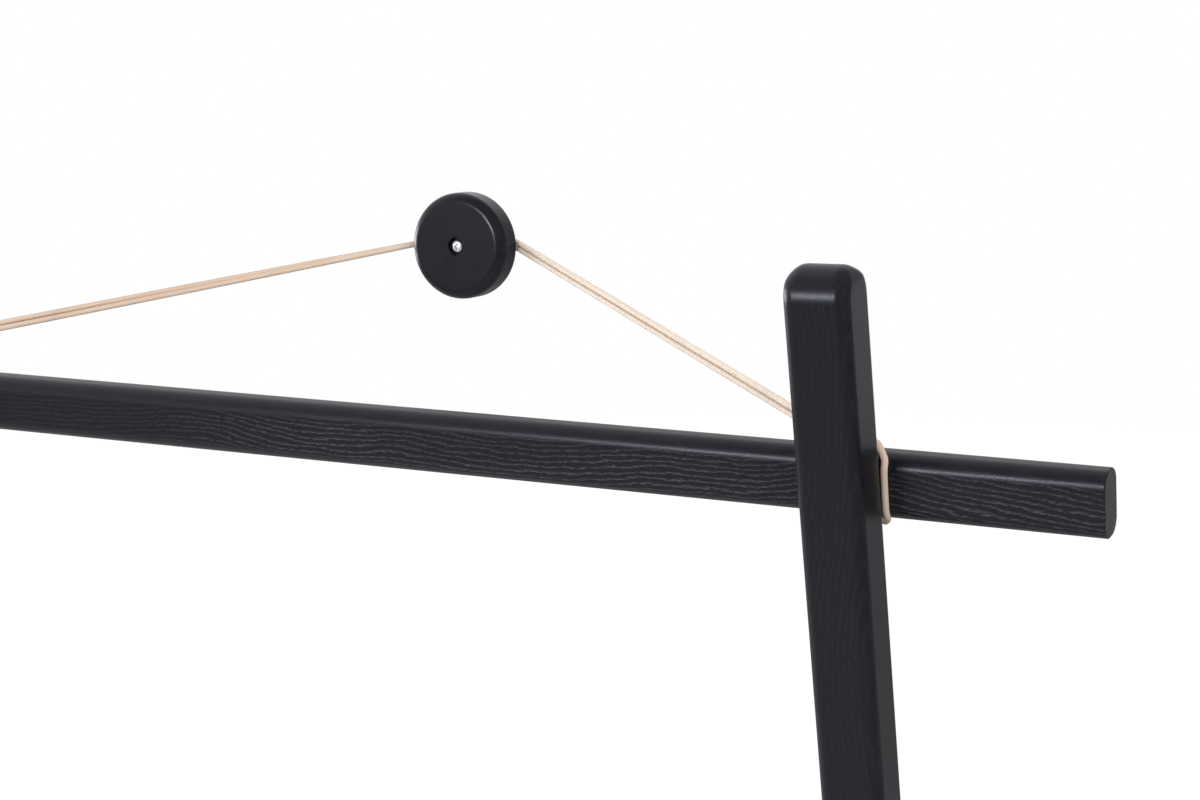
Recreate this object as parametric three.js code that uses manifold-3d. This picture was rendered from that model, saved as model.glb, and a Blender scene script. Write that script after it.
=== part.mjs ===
// Wall-tethered kimono stand, in millimetres, +Z up.
//
// Two black posts lean away from the wall and carry a flat-oval bar behind them. A doubled leather
// cord runs from each end of the bar to a turned knob on the wall and holds the frame in its lean.
// The knob's face looks along -Y, the wall is the plane behind it, and the floor is z = 0.

import * as THREE from "three";
import { mergeVertices } from "three/addons/utils/BufferGeometryUtils.js";
import Module from "manifold-3d";

const wasm = await Module();
wasm.setup();

// ---- Driving dimensions ---------------------------------------------------------------------

const SEAT_GAP = 0.3; // clearance between pieces that rest on each other
const HOLE_CLEARANCE = 0.3; // radial clearance of a shank or a dowel in its hole

// The frame
const LEAN = THREE.MathUtils.degToRad(10.25); // top of the frame tips away from the wall
const SPLAY = THREE.MathUtils.degToRad(1); // each post's foot stands wider than its top
const POST_WIDTH = 40;
const POST_DEPTH = 38;
const POST_EDGE_RADIUS = 8;
const POST_END_RADIUS = 10; // the full-round top's own edges, at the post's inner and outer faces
const POST_CREST_FLAT = 3; // flat that is left along the crest of the full round
const POST_CORNER_SHARE = 0.8; // edge radius is at most this share of half the depth near the crest
const POST_ABOVE_BAR = 138.5; // crest over the top bar's centre line, along the post
const POST_HALF_SPACING = 439; // at the top bar
const BAR_HEIGHT = 40;
const BAR_THICKNESS = 24;
const BAR_EDGE_RADIUS = 10;
const BAR_END_BREAK = 0.8; // small chamfer round the square-cut ends
const BAR_LENGTH = 1176;
const BAR_LEVEL = 1465; // top bar's centre line above the floor
const RAIL_LEVEL = 300; // lower rail's centre line above the floor
const RAIL_OVERHANG = 30; // lower rail past each post's outer face

// The feet
const PAD_THICKNESS = 3;
const PAD_INSET = 2; // pad edge inside the foot's outline
const PAD_RADIUS = 6;
const PAD_EDGE_BREAK = 0.5;

// The fasteners at each crossing, put in from the bar's back
const BOLT_DIAMETER = 6;
const BOLT_LENGTH = 30;
const BOLT_HEAD_DIAMETER = 10;
const BOLT_HEAD_HEIGHT = 6;
const BOLT_HEAD_BREAK = 0.8;
const BOLT_SOCKET_FLATS = 5;
const BOLT_SOCKET_DEPTH = 3;
const WASHER_DIAMETER = 12;
const WASHER_THICKNESS = 1.6;
const COUNTERBORE_DIAMETER = 14;
const COUNTERBORE_DEPTH = 9;
const INSERT_DIAMETER = 9.4;
const INSERT_LENGTH = 16;
const INSERT_HOLE_DEPTH = 20;
const DOWEL_DIAMETER = 8;
const DOWEL_LENGTH = 24;
const DOWEL_OFFSET = 12; // from the bolt, towards the stand's middle
const DOWEL_BREAK = 1;
const DOWEL_END_ROOM = 1; // free depth of its hole past each end

// The wall knob
const WALL_TO_BAR = 312.5; // wall face to the top bar's centre line, level
const KNOB_RISE = 96.5; // knob's axis above the top bar's centre line
const KNOB_DIAMETER = 81.5;
const KNOB_THICKNESS = 23;
const KNOB_FRONT_RADIUS = 7.5;
const KNOB_BACK_RADIUS = 2;
const NECK_DIAMETER = 14;
const NECK_LENGTH = 14; // disc's back to the wall, base included
const NECK_FILLET = 1;
const BASE_DIAMETER = 30;
const BASE_THICKNESS = 3;
const BASE_RELIEF_DIAMETER = 12; // shallow recess that clears the plug, so that the rim seats
const BASE_RELIEF_DEPTH = 0.5;
const KNOB_COUNTERBORE_DIAMETER = 14;
const KNOB_COUNTERBORE_DEPTH = 4.3;
const SCREW_DIAMETER = 5;
const SCREW_LENGTH = 70; // under the head
const SCREW_TIP_LENGTH = 8;
const SCREW_HEAD_DIAMETER = 9.6;
const SCREW_HEAD_HEIGHT = 3.4;
const SCREW_HEAD_RIM = 1.4; // straight edge under the domed crown
const RECESS_SPAN = 5.2;
const RECESS_WIDTH = 1.1;
const RECESS_DEPTH = 2;
const PLUG_DIAMETER = 8;
const PLUG_LENGTH = 45;
const PLUG_RIB_DEPTH = 0.5;
const PLUG_RIB_STEP = 0.8; // length over which a rib steps down
const PLUG_RIB_COUNT = 6;
const PLUG_SLOT_WIDTH = 1;
const PLUG_SLOT_START = 14; // unslotted collar at the mouth

// The leather cord
const CORD_DIAMETER = 4.2;
const CORD_SIDES = 8;
const STRAND_PITCH = CORD_DIAMETER + SEAT_GAP; // centre to centre where the two strands lie together
const LOOP_CLEARANCE = 0.5; // loop beside the post's rounded rear edge
const LOOP_HELD_TURN = 40; // degrees of the bar's front edges over which the post still holds the loop
const LOOP_SLANT = 0.62; // drift towards the knob for each length round the bar past that
const LOOP_CORNER_STEPS = 3; // stretches of the loop round each of the bar's front edges
const LOOP_REAR_STEPS = 1; // stretches that it still follows round the bar's rear edges
const KEEPER_DISTANCE = 50; // loop's middle to the keeper, along the cord
const KEEPER_LENGTH = 16;
const KEEPER_WALL = 1.6;
const KEEPER_EDGE_BREAK = 0.6;
const KEEPER_FLAT = 0.14; // half the flat that is left across each rounded end
const CORD_PULL_RISE = 2; // cord leaves the bar's back this far over its centre line

// Stations of a strand, as shares of each stretch of its way from a keeper to the knob's neck
const SPAN_STATIONS = [0.02, 0.35, 0.7]; // keeper to the disc's rim
const RIM_STATIONS = [1, 0.5, 0]; // round the rim, as shares of the bend that is left
const BACK_STATIONS = [0.28, 0.56, 0.84, 1]; // along the disc's back
const TURN_END = 0.84; // where the two strands lie side by side on the disc's back

// Fineness of the round surfaces
const EDGE_STEPS = 5;
const CROWN_STEPS = 8; // round a post's top
const TURNED_STEPS = 20;
const KNOB_STEPS = 48;
const SMALL_STEPS = 3; // round a small fillet
const HEX_SIDES = 6;
const CUT_OVERRUN = 1; // how far a cutting tool runs past the face that it opens
const WELD_TOLERANCE = 1e-4; // corners this near are one

// ---- Finishes -------------------------------------------------------------------------------

const finish = (color, roughness, metalness = 0) =>
  new THREE.MeshStandardMaterial({ color, roughness, metalness });

const blackAsh = finish(0x2b2c30, 0.5);
const blackKnob = finish(0x26272b, 0.45);
const zinc = finish(0xb9bcc0, 0.35, 0.9);
const brass = finish(0xb08d4c, 0.4, 0.9);
const beech = finish(0xcfae84, 0.7);
const felt = finish(0x3a3a3c, 0.95);
const nylon = finish(0x8f9296, 0.6);
const leather = finish(0xd9bfa3, 0.6);
const keeperLeather = finish(0xc7a987, 0.65);

// ---- Solids: one closed, outward-facing body each ----------------------------------------------

/** Merge a geometry's shared corners so that only its positions and faces are left. */
function weld(geometry) {
  const bare = geometry.index ? geometry.toNonIndexed() : geometry.clone();
  bare.deleteAttribute("normal");
  bare.deleteAttribute("uv");
  return mergeVertices(bare, WELD_TOLERANCE);
}

/** A closed geometry as a boolean operand. */
function toSolid(geometry) {
  const bare = weld(geometry);
  const vertProperties = new Float32Array(bare.attributes.position.array);
  const triVerts = new Uint32Array(bare.index.array);
  const solid = new wasm.Manifold(new wasm.Mesh({ numProp: 3, vertProperties, triVerts }));
  return solid;
}

/** A boolean's result as a geometry. */
function toGeometry(solid) {
  const mesh = solid.getMesh();
  const geometry = new THREE.BufferGeometry();
  geometry.setAttribute("position", new THREE.BufferAttribute(new Float32Array(mesh.vertProperties), 3));
  geometry.setIndex(new THREE.BufferAttribute(new Uint32Array(mesh.triVerts), 1));
  geometry.computeVertexNormals();
  return geometry;
}

/** One geometry with the others cut out of it. */
function cut(body, ...tools) {
  let solid = toSolid(body);
  for (const tool of tools) {
    solid = solid.subtract(toSolid(tool));
  }
  return toGeometry(solid);
}

/** A named piece in its finish. */
function piece(name, geometry, material) {
  const mesh = new THREE.Mesh(geometry, material);
  mesh.name = name;
  return mesh;
}

/** A rectangle with rounded corners about the origin. */
function roundedRectangle(width, height, radius) {
  const shape = new THREE.Shape();
  const x = width / 2;
  const y = height / 2;
  shape.moveTo(x, -y + radius);
  shape.lineTo(x, y - radius);
  shape.absarc(x - radius, y - radius, radius, 0, Math.PI / 2);
  shape.lineTo(-x + radius, y);
  shape.absarc(-x + radius, y - radius, radius, Math.PI / 2, Math.PI);
  shape.lineTo(-x, -y + radius);
  shape.absarc(-x + radius, -y + radius, radius, Math.PI, Math.PI * 1.5);
  shape.lineTo(x - radius, -y);
  shape.absarc(x - radius, -y + radius, radius, Math.PI * 1.5, Math.PI * 2);
  return shape;
}

/** The corners of a rounded rectangle, the same number for every size. */
function roundedRing(width, depth, radius) {
  const ring = [];
  const corners = [[1, 1], [-1, 1], [-1, -1], [1, -1]];
  corners.forEach(([sideX, sideY], quarter) => {
    for (let step = 0; step <= EDGE_STEPS; step += 1) {
      const angle = (quarter + step / EDGE_STEPS) * (Math.PI / 2);
      ring.push(new THREE.Vector2(
        sideX * (width / 2 - radius) + radius * Math.cos(angle),
        sideY * (depth / 2 - radius) + radius * Math.sin(angle),
      ));
    }
  });
  return ring;
}

/** A closed body through rings of equal count, first ring at the bottom. */
function loft(rings) {
  const count = rings[0].length;
  const middle = (ring) => ring.reduce((sum, p) => sum.add(p), new THREE.Vector3()).divideScalar(count);
  const corners = [...rings.flat(), middle(rings[0]), middle(rings[rings.length - 1])];
  const bottom = corners.length - 2;
  const top = corners.length - 1;
  const faces = [];
  for (let i = 0; i < count; i += 1) {
    const next = (i + 1) % count;
    for (let level = 0; level + 1 < rings.length; level += 1) {
      const low = level * count;
      const high = low + count;
      faces.push(low + i, low + next, high + next);
      faces.push(low + i, high + next, high + i);
    }
    const last = (rings.length - 1) * count;
    faces.push(bottom, next, i);
    faces.push(top, last + i, last + next);
  }
  const geometry = new THREE.BufferGeometry().setFromPoints(corners);
  geometry.setIndex(faces);
  geometry.computeVertexNormals();
  return geometry;
}

/** A body turned about the Y axis from [radius, y] points, given with y rising on the outside. */
function turned(profile, steps = TURNED_STEPS) {
  return new THREE.LatheGeometry(profile.map(([r, y]) => new THREE.Vector2(r, y)), steps);
}

/** A plain cylinder along Y between two levels. */
function rodAlongY(diameter, from, to, steps = TURNED_STEPS) {
  const rod = new THREE.CylinderGeometry(diameter / 2, diameter / 2, to - from, steps);
  return rod.translate(0, (from + to) / 2, 0);
}

/**
 * A quarter round in a turned profile's corner, given by the corner, the radius, the way from the
 * corner to the round's centre and the degrees at which the round starts and ends.
 */
function arcPoints([cornerR, cornerY], radius, [wayR, wayY], [from, to], steps = EDGE_STEPS) {
  const points = [];
  for (let step = 0; step <= steps; step += 1) {
    const angle = THREE.MathUtils.degToRad(THREE.MathUtils.lerp(from, to, step / steps));
    points.push([
      cornerR + radius * (wayR + Math.cos(angle)),
      cornerY + radius * (wayY + Math.sin(angle)),
    ]);
  }
  return points;
}

/** A round tube with one station at each point of its route. */
function tubeThrough(points, diameter) {
  const route = new THREE.CatmullRomCurve3(points, false, "centripetal");
  route.getUtoTmapping = (u) => u;
  const section = new THREE.Shape();
  section.absarc(0, 0, diameter / 2, 0, Math.PI * 2);
  return new THREE.ExtrudeGeometry(section, {
    extrudePath: route,
    steps: points.length - 1,
    curveSegments: CORD_SIDES,
    bevelEnabled: false,
  });
}

// ---- The leaning frame --------------------------------------------------------------------------
// Inside the frame x runs along the bars, y through the posts towards the wall and z up the lean.
// The posts' rear faces are y = 0, and the rear edges of the feet meet the floor's line at z = 0.

const barDepth = SEAT_GAP + BAR_THICKNESS / 2; // bar's centre plane behind the posts' rear faces

/** Height up the lean at which a point, this far behind the rear faces, lies at a level. */
const upTheLean = (level, behind) => (level - behind * Math.sin(LEAN)) / Math.cos(LEAN);

const topBarUp = upTheLean(BAR_LEVEL, barDepth);
const railUp = upTheLean(RAIL_LEVEL, barDepth);

/** Half the posts' spacing at a height up the lean. */
const halfSpacing = (up) => POST_HALF_SPACING + (topBarUp - up) * Math.tan(SPLAY);

const frame = new THREE.Group();
frame.rotation.x = LEAN;
frame.updateMatrixWorld();

const crossings = [
  { place: "top", up: topBarUp },
  { place: "low", up: railUp },
];
const sides = [
  { side: "left", sign: -1 },
  { side: "right", sign: 1 },
];

const insertHole = rodAlongY(INSERT_DIAMETER + 2 * HOLE_CLEARANCE, -INSERT_HOLE_DEPTH, SEAT_GAP);
const dowelReach = DOWEL_LENGTH / 2 + DOWEL_END_ROOM;
const dowelHole = rodAlongY(DOWEL_DIAMETER + 2 * HOLE_CLEARANCE, -dowelReach, dowelReach);

/** A post about its own axis: z = 0 at the top bar's centre line, rear face at y = 0. */
function postBody(splay) {
  const footLevel = PAD_THICKNESS + SEAT_GAP;
  const footHeight = (x, y) =>
    (upTheLean(footLevel, y) - topBarUp + x * Math.sin(splay)) / Math.cos(splay);
  const crown = POST_DEPTH / 2; // radius of the top, a full round from front to back
  const ringAt = (halfWidth, halfDepth, height) => {
    const radius = Math.min(POST_EDGE_RADIUS, halfDepth * POST_CORNER_SHARE);
    const corners = roundedRing(2 * halfWidth, 2 * halfDepth, radius);
    return corners.map((p) => new THREE.Vector3(p.x, p.y - crown, height(p.x, p.y - crown)));
  };
  const rings = [ringAt(POST_WIDTH / 2, crown, footHeight)];
  const crestTurn = Math.acos(POST_CREST_FLAT / POST_DEPTH);
  for (let step = 0; step <= CROWN_STEPS; step += 1) {
    const angle = (step / CROWN_STEPS) * crestTurn;
    const drop = crown * (1 - Math.sin(angle));
    const reach = Math.max(0, POST_END_RADIUS - drop);
    const inset = POST_END_RADIUS - Math.sqrt(POST_END_RADIUS ** 2 - reach ** 2);
    rings.push(ringAt(POST_WIDTH / 2 - inset, crown * Math.cos(angle), () => POST_ABOVE_BAR - drop));
  }
  return loft(rings);
}

/** A post in its place, with the holes that the crossings' fasteners need. */
function post({ side, sign }) {
  const splay = -sign * SPLAY;
  const holder = new THREE.Object3D();
  holder.position.set(sign * POST_HALF_SPACING, 0, topBarUp);
  holder.rotation.y = splay;
  holder.updateMatrix();
  const toPost = holder.matrix.clone().invert();
  const holes = [];
  for (const { up } of crossings) {
    const x = sign * halfSpacing(up);
    holes.push(insertHole.clone().translate(x, 0, up).applyMatrix4(toPost));
    holes.push(dowelHole.clone().translate(x - sign * DOWEL_OFFSET, 0, up).applyMatrix4(toPost));
  }
  const mesh = piece(`post_${side}`, cut(postBody(splay), ...holes), blackAsh);
  mesh.position.copy(holder.position);
  mesh.rotation.copy(holder.rotation);
  return mesh;
}

/** A flat-oval bar along X about the origin, bored for the fasteners of two crossings. */
function bar(name, length, crossingHalfSpacing) {
  const section = roundedRectangle(
    BAR_THICKNESS - 2 * BAR_END_BREAK,
    BAR_HEIGHT - 2 * BAR_END_BREAK,
    BAR_EDGE_RADIUS - BAR_END_BREAK,
  );
  const blank = new THREE.ExtrudeGeometry(section, {
    depth: length - 2 * BAR_END_BREAK,
    curveSegments: EDGE_STEPS,
    bevelThickness: BAR_END_BREAK,
    bevelSize: BAR_END_BREAK,
    bevelSegments: 1,
  });
  blank.translate(0, 0, BAR_END_BREAK - length / 2);
  const alongX = new THREE.Matrix4().makeBasis(
    new THREE.Vector3(0, 1, 0),
    new THREE.Vector3(0, 0, 1),
    new THREE.Vector3(1, 0, 0),
  );
  blank.applyMatrix4(alongX);
  const half = BAR_THICKNESS / 2;
  const throughHole = rodAlongY(
    BOLT_DIAMETER + 2 * HOLE_CLEARANCE,
    -half - CUT_OVERRUN,
    half + CUT_OVERRUN,
  );
  const counterbore = rodAlongY(COUNTERBORE_DIAMETER, half - COUNTERBORE_DEPTH, half + CUT_OVERRUN);
  const blindHole = rodAlongY(
    DOWEL_DIAMETER + 2 * HOLE_CLEARANCE,
    -half - CUT_OVERRUN,
    dowelReach - barDepth,
  );
  const holes = [];
  for (const { sign } of sides) {
    const x = sign * crossingHalfSpacing;
    holes.push(throughHole.clone().translate(x, 0, 0));
    holes.push(counterbore.clone().translate(x, 0, 0));
    holes.push(blindHole.clone().translate(x - sign * DOWEL_OFFSET, 0, 0));
  }
  return piece(name, cut(blank, ...holes), blackAsh);
}

/** A socket-head bolt along Y, its head towards the wall and the head's underside at y = 0. */
function bolt() {
  const radius = BOLT_DIAMETER / 2;
  const head = BOLT_HEAD_DIAMETER / 2;
  const body = turned([
    [0, -BOLT_LENGTH],
    [radius - BOLT_HEAD_BREAK, -BOLT_LENGTH],
    [radius, -BOLT_LENGTH + BOLT_HEAD_BREAK],
    [radius, 0],
    [head, 0],
    [head, BOLT_HEAD_HEIGHT - BOLT_HEAD_BREAK],
    [head - BOLT_HEAD_BREAK, BOLT_HEAD_HEIGHT],
    [0, BOLT_HEAD_HEIGHT],
  ]);
  const socket = rodAlongY(
    BOLT_SOCKET_FLATS / Math.cos(Math.PI / HEX_SIDES),
    BOLT_HEAD_HEIGHT - BOLT_SOCKET_DEPTH,
    BOLT_HEAD_HEIGHT + CUT_OVERRUN,
    HEX_SIDES,
  );
  return cut(body, socket);
}

/** A flat ring along Y between two levels. */
function ring(outerDiameter, innerDiameter, from, to) {
  const outer = outerDiameter / 2;
  const inner = innerDiameter / 2;
  return turned([[inner, from], [outer, from], [outer, to], [inner, to], [inner, from]]);
}

/** A wooden dowel along Y, with broken end edges. */
function dowel() {
  const radius = DOWEL_DIAMETER / 2;
  const half = DOWEL_LENGTH / 2;
  return turned([
    [0, -half],
    [radius - DOWEL_BREAK, -half],
    [radius, -half + DOWEL_BREAK],
    [radius, half - DOWEL_BREAK],
    [radius - DOWEL_BREAK, half],
    [0, half],
  ]);
}

/** Bolt, washer, insert and dowel of one crossing, in their places in the frame. */
function crossingFasteners({ place, up }, { side, sign }) {
  const x = sign * halfSpacing(up);
  const seat = barDepth + BAR_THICKNESS / 2 - COUNTERBORE_DEPTH; // counterbore's floor
  const clearBore = BOLT_DIAMETER + 2 * HOLE_CLEARANCE;
  const washerTop = seat + SEAT_GAP + WASHER_THICKNESS;
  const fasteners = {
    bolt: piece(`bolt_${place}_${side}`, bolt(), zinc),
    washer: piece(
      `washer_${place}_${side}`,
      ring(WASHER_DIAMETER, clearBore, seat + SEAT_GAP, washerTop),
      zinc,
    ),
    insert: piece(
      `insert_${place}_${side}`,
      ring(INSERT_DIAMETER, clearBore, -INSERT_LENGTH - SEAT_GAP, -SEAT_GAP),
      brass,
    ),
    dowel: piece(`dowel_${place}_${side}`, dowel(), beech),
  };
  fasteners.bolt.position.set(x, washerTop + SEAT_GAP, up);
  fasteners.washer.position.set(x, 0, up);
  fasteners.insert.position.set(x, 0, up);
  fasteners.dowel.position.set(x - sign * DOWEL_OFFSET, 0, up);
  return Object.values(fasteners);
}

const railLength = 2 * (halfSpacing(railUp) + POST_WIDTH / 2 + RAIL_OVERHANG);
const topBar = bar("top_bar", BAR_LENGTH, halfSpacing(topBarUp));
topBar.position.set(0, barDepth, topBarUp);
const lowerRail = bar("lower_rail", railLength, halfSpacing(railUp));
lowerRail.position.set(0, barDepth, railUp);
frame.add(topBar, lowerRail);
for (const side of sides) {
  frame.add(post(side));
  for (const crossing of crossings) {
    frame.add(...crossingFasteners(crossing, side));
  }
}

// ---- The feet -------------------------------------------------------------------------------------

/** A felt pad flat on the floor under a foot. */
function footPad({ side, sign }) {
  const footDepth = POST_DEPTH / Math.cos(LEAN);
  const width = POST_WIDTH - 2 * PAD_INSET;
  const depth = footDepth - 2 * PAD_INSET;
  const outline = roundedRectangle(
    width - 2 * PAD_EDGE_BREAK,
    depth - 2 * PAD_EDGE_BREAK,
    PAD_RADIUS - PAD_EDGE_BREAK,
  );
  const pad = new THREE.ExtrudeGeometry(outline, {
    depth: PAD_THICKNESS - 2 * PAD_EDGE_BREAK,
    curveSegments: EDGE_STEPS,
    bevelThickness: PAD_EDGE_BREAK,
    bevelSize: PAD_EDGE_BREAK,
    bevelSegments: 1,
  });
  pad.translate(0, 0, PAD_EDGE_BREAK);
  const mesh = piece(`foot_pad_${side}`, pad, felt);
  mesh.position.set(sign * halfSpacing(PAD_THICKNESS), -footDepth / 2, 0);
  return mesh;
}

// ---- The wall knob --------------------------------------------------------------------------------
// The knob's own y = 0 is its wall face, and its front looks along -Y.

const barLineY = barDepth * Math.cos(LEAN) - topBarUp * Math.sin(LEAN); // top bar's centre line
const wallY = barLineY + WALL_TO_BAR;
const knobZ = BAR_LEVEL + KNOB_RISE;
const knobFront = -(KNOB_THICKNESS + NECK_LENGTH);
const screwSeat = knobFront + KNOB_COUNTERBORE_DEPTH;

/** The turned knob: a thick disc, round at its front edge, on a slim neck with a base at the wall. */
function knobBody() {
  const disc = KNOB_DIAMETER / 2;
  const neck = NECK_DIAMETER / 2;
  const base = BASE_DIAMETER / 2;
  const bore = SCREW_DIAMETER / 2 + HOLE_CLEARANCE;
  const counterbore = KNOB_COUNTERBORE_DIAMETER / 2;
  const relief = BASE_RELIEF_DIAMETER / 2;
  const discBack = -NECK_LENGTH;
  const front = arcPoints([disc, knobFront], KNOB_FRONT_RADIUS, [-1, 1], [-90, 0]);
  const back = arcPoints([disc, discBack], KNOB_BACK_RADIUS, [-1, -1], [0, 90], SMALL_STEPS);
  const fillet = arcPoints([neck, discBack], NECK_FILLET, [1, 1], [-90, -180], SMALL_STEPS);
  return turned([
    [bore, screwSeat],
    [counterbore, screwSeat],
    [counterbore, knobFront],
    ...front,
    ...back,
    ...fillet,
    [neck, -BASE_THICKNESS],
    [base, -BASE_THICKNESS],
    [base, 0],
    [relief, 0],
    [relief, -BASE_RELIEF_DEPTH],
    [bore, -BASE_RELIEF_DEPTH],
    [bore, screwSeat],
  ], KNOB_STEPS);
}

/** The pan-head wood screw through the knob, with a cross recess in its domed head. */
function wallScrew() {
  const shank = SCREW_DIAMETER / 2;
  const head = SCREW_HEAD_DIAMETER / 2;
  const under = screwSeat - SEAT_GAP;
  const crown = under - SCREW_HEAD_HEIGHT;
  const domeHeight = SCREW_HEAD_HEIGHT - SCREW_HEAD_RIM;
  const dome = [];
  for (let step = 0; step <= EDGE_STEPS; step += 1) {
    const angle = (step / EDGE_STEPS) * (Math.PI / 2);
    dome.push([head * Math.sin(angle), crown + domeHeight * (1 - Math.cos(angle))]);
  }
  const body = turned([
    ...dome,
    [head, under],
    [shank, under],
    [shank, under + SCREW_LENGTH - SCREW_TIP_LENGTH],
    [0, under + SCREW_LENGTH],
  ]);
  const slot = new THREE.BoxGeometry(RECESS_SPAN, RECESS_DEPTH * 2, RECESS_WIDTH);
  slot.translate(0, crown, 0);
  const crossSlot = slot.clone().rotateY(Math.PI / 2);
  return cut(body, slot, crossSlot);
}

/** The ribbed wall plug, split along most of its length so that it can spread. */
function wallPlug() {
  const bore = SCREW_DIAMETER / 2 + HOLE_CLEARANCE;
  const outer = PLUG_DIAMETER / 2;
  const ribbed = PLUG_LENGTH - PLUG_SLOT_START;
  const ribPitch = ribbed / PLUG_RIB_COUNT;
  const profile = [[bore, SEAT_GAP], [outer, SEAT_GAP]];
  for (let rib = 0; rib < PLUG_RIB_COUNT; rib += 1) {
    const start = PLUG_SLOT_START + rib * ribPitch;
    profile.push([outer, start]);
    profile.push([outer - PLUG_RIB_DEPTH, start + PLUG_RIB_STEP]);
  }
  profile.push([outer, PLUG_LENGTH]);
  profile.push([bore, PLUG_LENGTH]);
  profile.push([bore, SEAT_GAP]);
  const slot = new THREE.BoxGeometry(PLUG_DIAMETER + 2 * CUT_OVERRUN, ribbed, PLUG_SLOT_WIDTH);
  slot.translate(0, PLUG_SLOT_START + ribbed / 2 + CUT_OVERRUN, 0);
  return cut(turned(profile), slot);
}

const wallPieces = new THREE.Group();
wallPieces.position.set(0, wallY, knobZ);
wallPieces.add(piece("wall_knob", knobBody(), blackKnob));
wallPieces.add(piece("wall_screw", wallScrew(), zinc));
wallPieces.add(piece("wall_plug", wallPlug(), nylon));

// ---- The leather cord -----------------------------------------------------------------------------
// Two strands ride side by side over the knob's neck and bend round the back edge of its disc. At
// each end a keeper pinches them together, one over the other, and past it the cord loops once
// round the bar, snug to the post's outer face.

const cordRadius = CORD_DIAMETER / 2;
const ride = SEAT_GAP + cordRadius; // cord's centre over a surface that it lies on
const neckRide = NECK_DIAMETER / 2 + ride;
const discBack = wallY - NECK_LENGTH;
const FORWARD = -1; // from the bar's middle towards its front
const REARWARD = 1; // and towards its back
const postEdgeX = POST_HALF_SPACING + POST_WIDTH / 2 - POST_EDGE_RADIUS;
const loopTuck = Math.sqrt(
  (POST_EDGE_RADIUS + ride) ** 2 - (POST_EDGE_RADIUS + SEAT_GAP - ride) ** 2,
);
const loopX = postEdgeX + loopTuck + LOOP_CLEARANCE; // tucked behind the widest of the post

/** Direction of the doubled cord from a bar end to the knob's rim. */
function cordDirection(sign) {
  const rim = new THREE.Vector3((sign * KNOB_DIAMETER) / 2, discBack, knobZ);
  return rim.sub(cordStart(sign)).normalize();
}

/** Middle of a loop behind the bar, from where the doubled cord pulls. */
function cordStart(sign) {
  return new THREE.Vector3(sign * loopX, barLineY + BAR_THICKNESS / 2, BAR_LEVEL + CORD_PULL_RISE);
}

/** Middle of a keeper. */
function keeperCentre(sign) {
  return cordStart(sign).addScaledVector(cordDirection(sign), KEEPER_DISTANCE);
}

/** Square to a direction and as near upright as can be. */
function uprightTo(along) {
  const up = new THREE.Vector3(0, 0, 1);
  return up.addScaledVector(along, -along.z).normalize();
}

/** The leather keeper: a flat-oval sleeve's outline, closed round the two strands. */
function keeper({ side, sign }) {
  const outline = roundedRectangle(
    CORD_DIAMETER + 2 * (KEEPER_WALL - KEEPER_EDGE_BREAK),
    STRAND_PITCH + CORD_DIAMETER + 2 * (KEEPER_WALL - KEEPER_EDGE_BREAK),
    cordRadius + KEEPER_WALL - KEEPER_EDGE_BREAK - KEEPER_FLAT,
  );
  const sleeve = new THREE.ExtrudeGeometry(outline, {
    depth: KEEPER_LENGTH - 2 * KEEPER_EDGE_BREAK,
    curveSegments: EDGE_STEPS,
    bevelThickness: KEEPER_EDGE_BREAK,
    bevelSize: KEEPER_EDGE_BREAK,
    bevelSegments: 1,
  });
  sleeve.translate(0, 0, KEEPER_EDGE_BREAK - KEEPER_LENGTH / 2);
  const along = cordDirection(sign);
  const up = uprightTo(along);
  const across = up.clone().cross(along);
  const mesh = piece(`cord_keeper_${side}`, sleeve, keeperLeather);
  mesh.quaternion.setFromRotationMatrix(new THREE.Matrix4().makeBasis(across, up, along));
  mesh.position.copy(keeperCentre(sign));
  return mesh;
}

/** Where a strand meets a keeper's face: rank -1 is the lower strand, 1 the upper one, 0 between. */
function keeperFace(sign, rank, towardsKnob) {
  const reach = KEEPER_LENGTH / 2 + SEAT_GAP;
  const along = cordDirection(sign);
  return keeperCentre(sign)
    .addScaledVector(along, towardsKnob ? reach : -reach)
    .addScaledVector(uprightTo(along), (rank * STRAND_PITCH) / 2);
}

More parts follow.
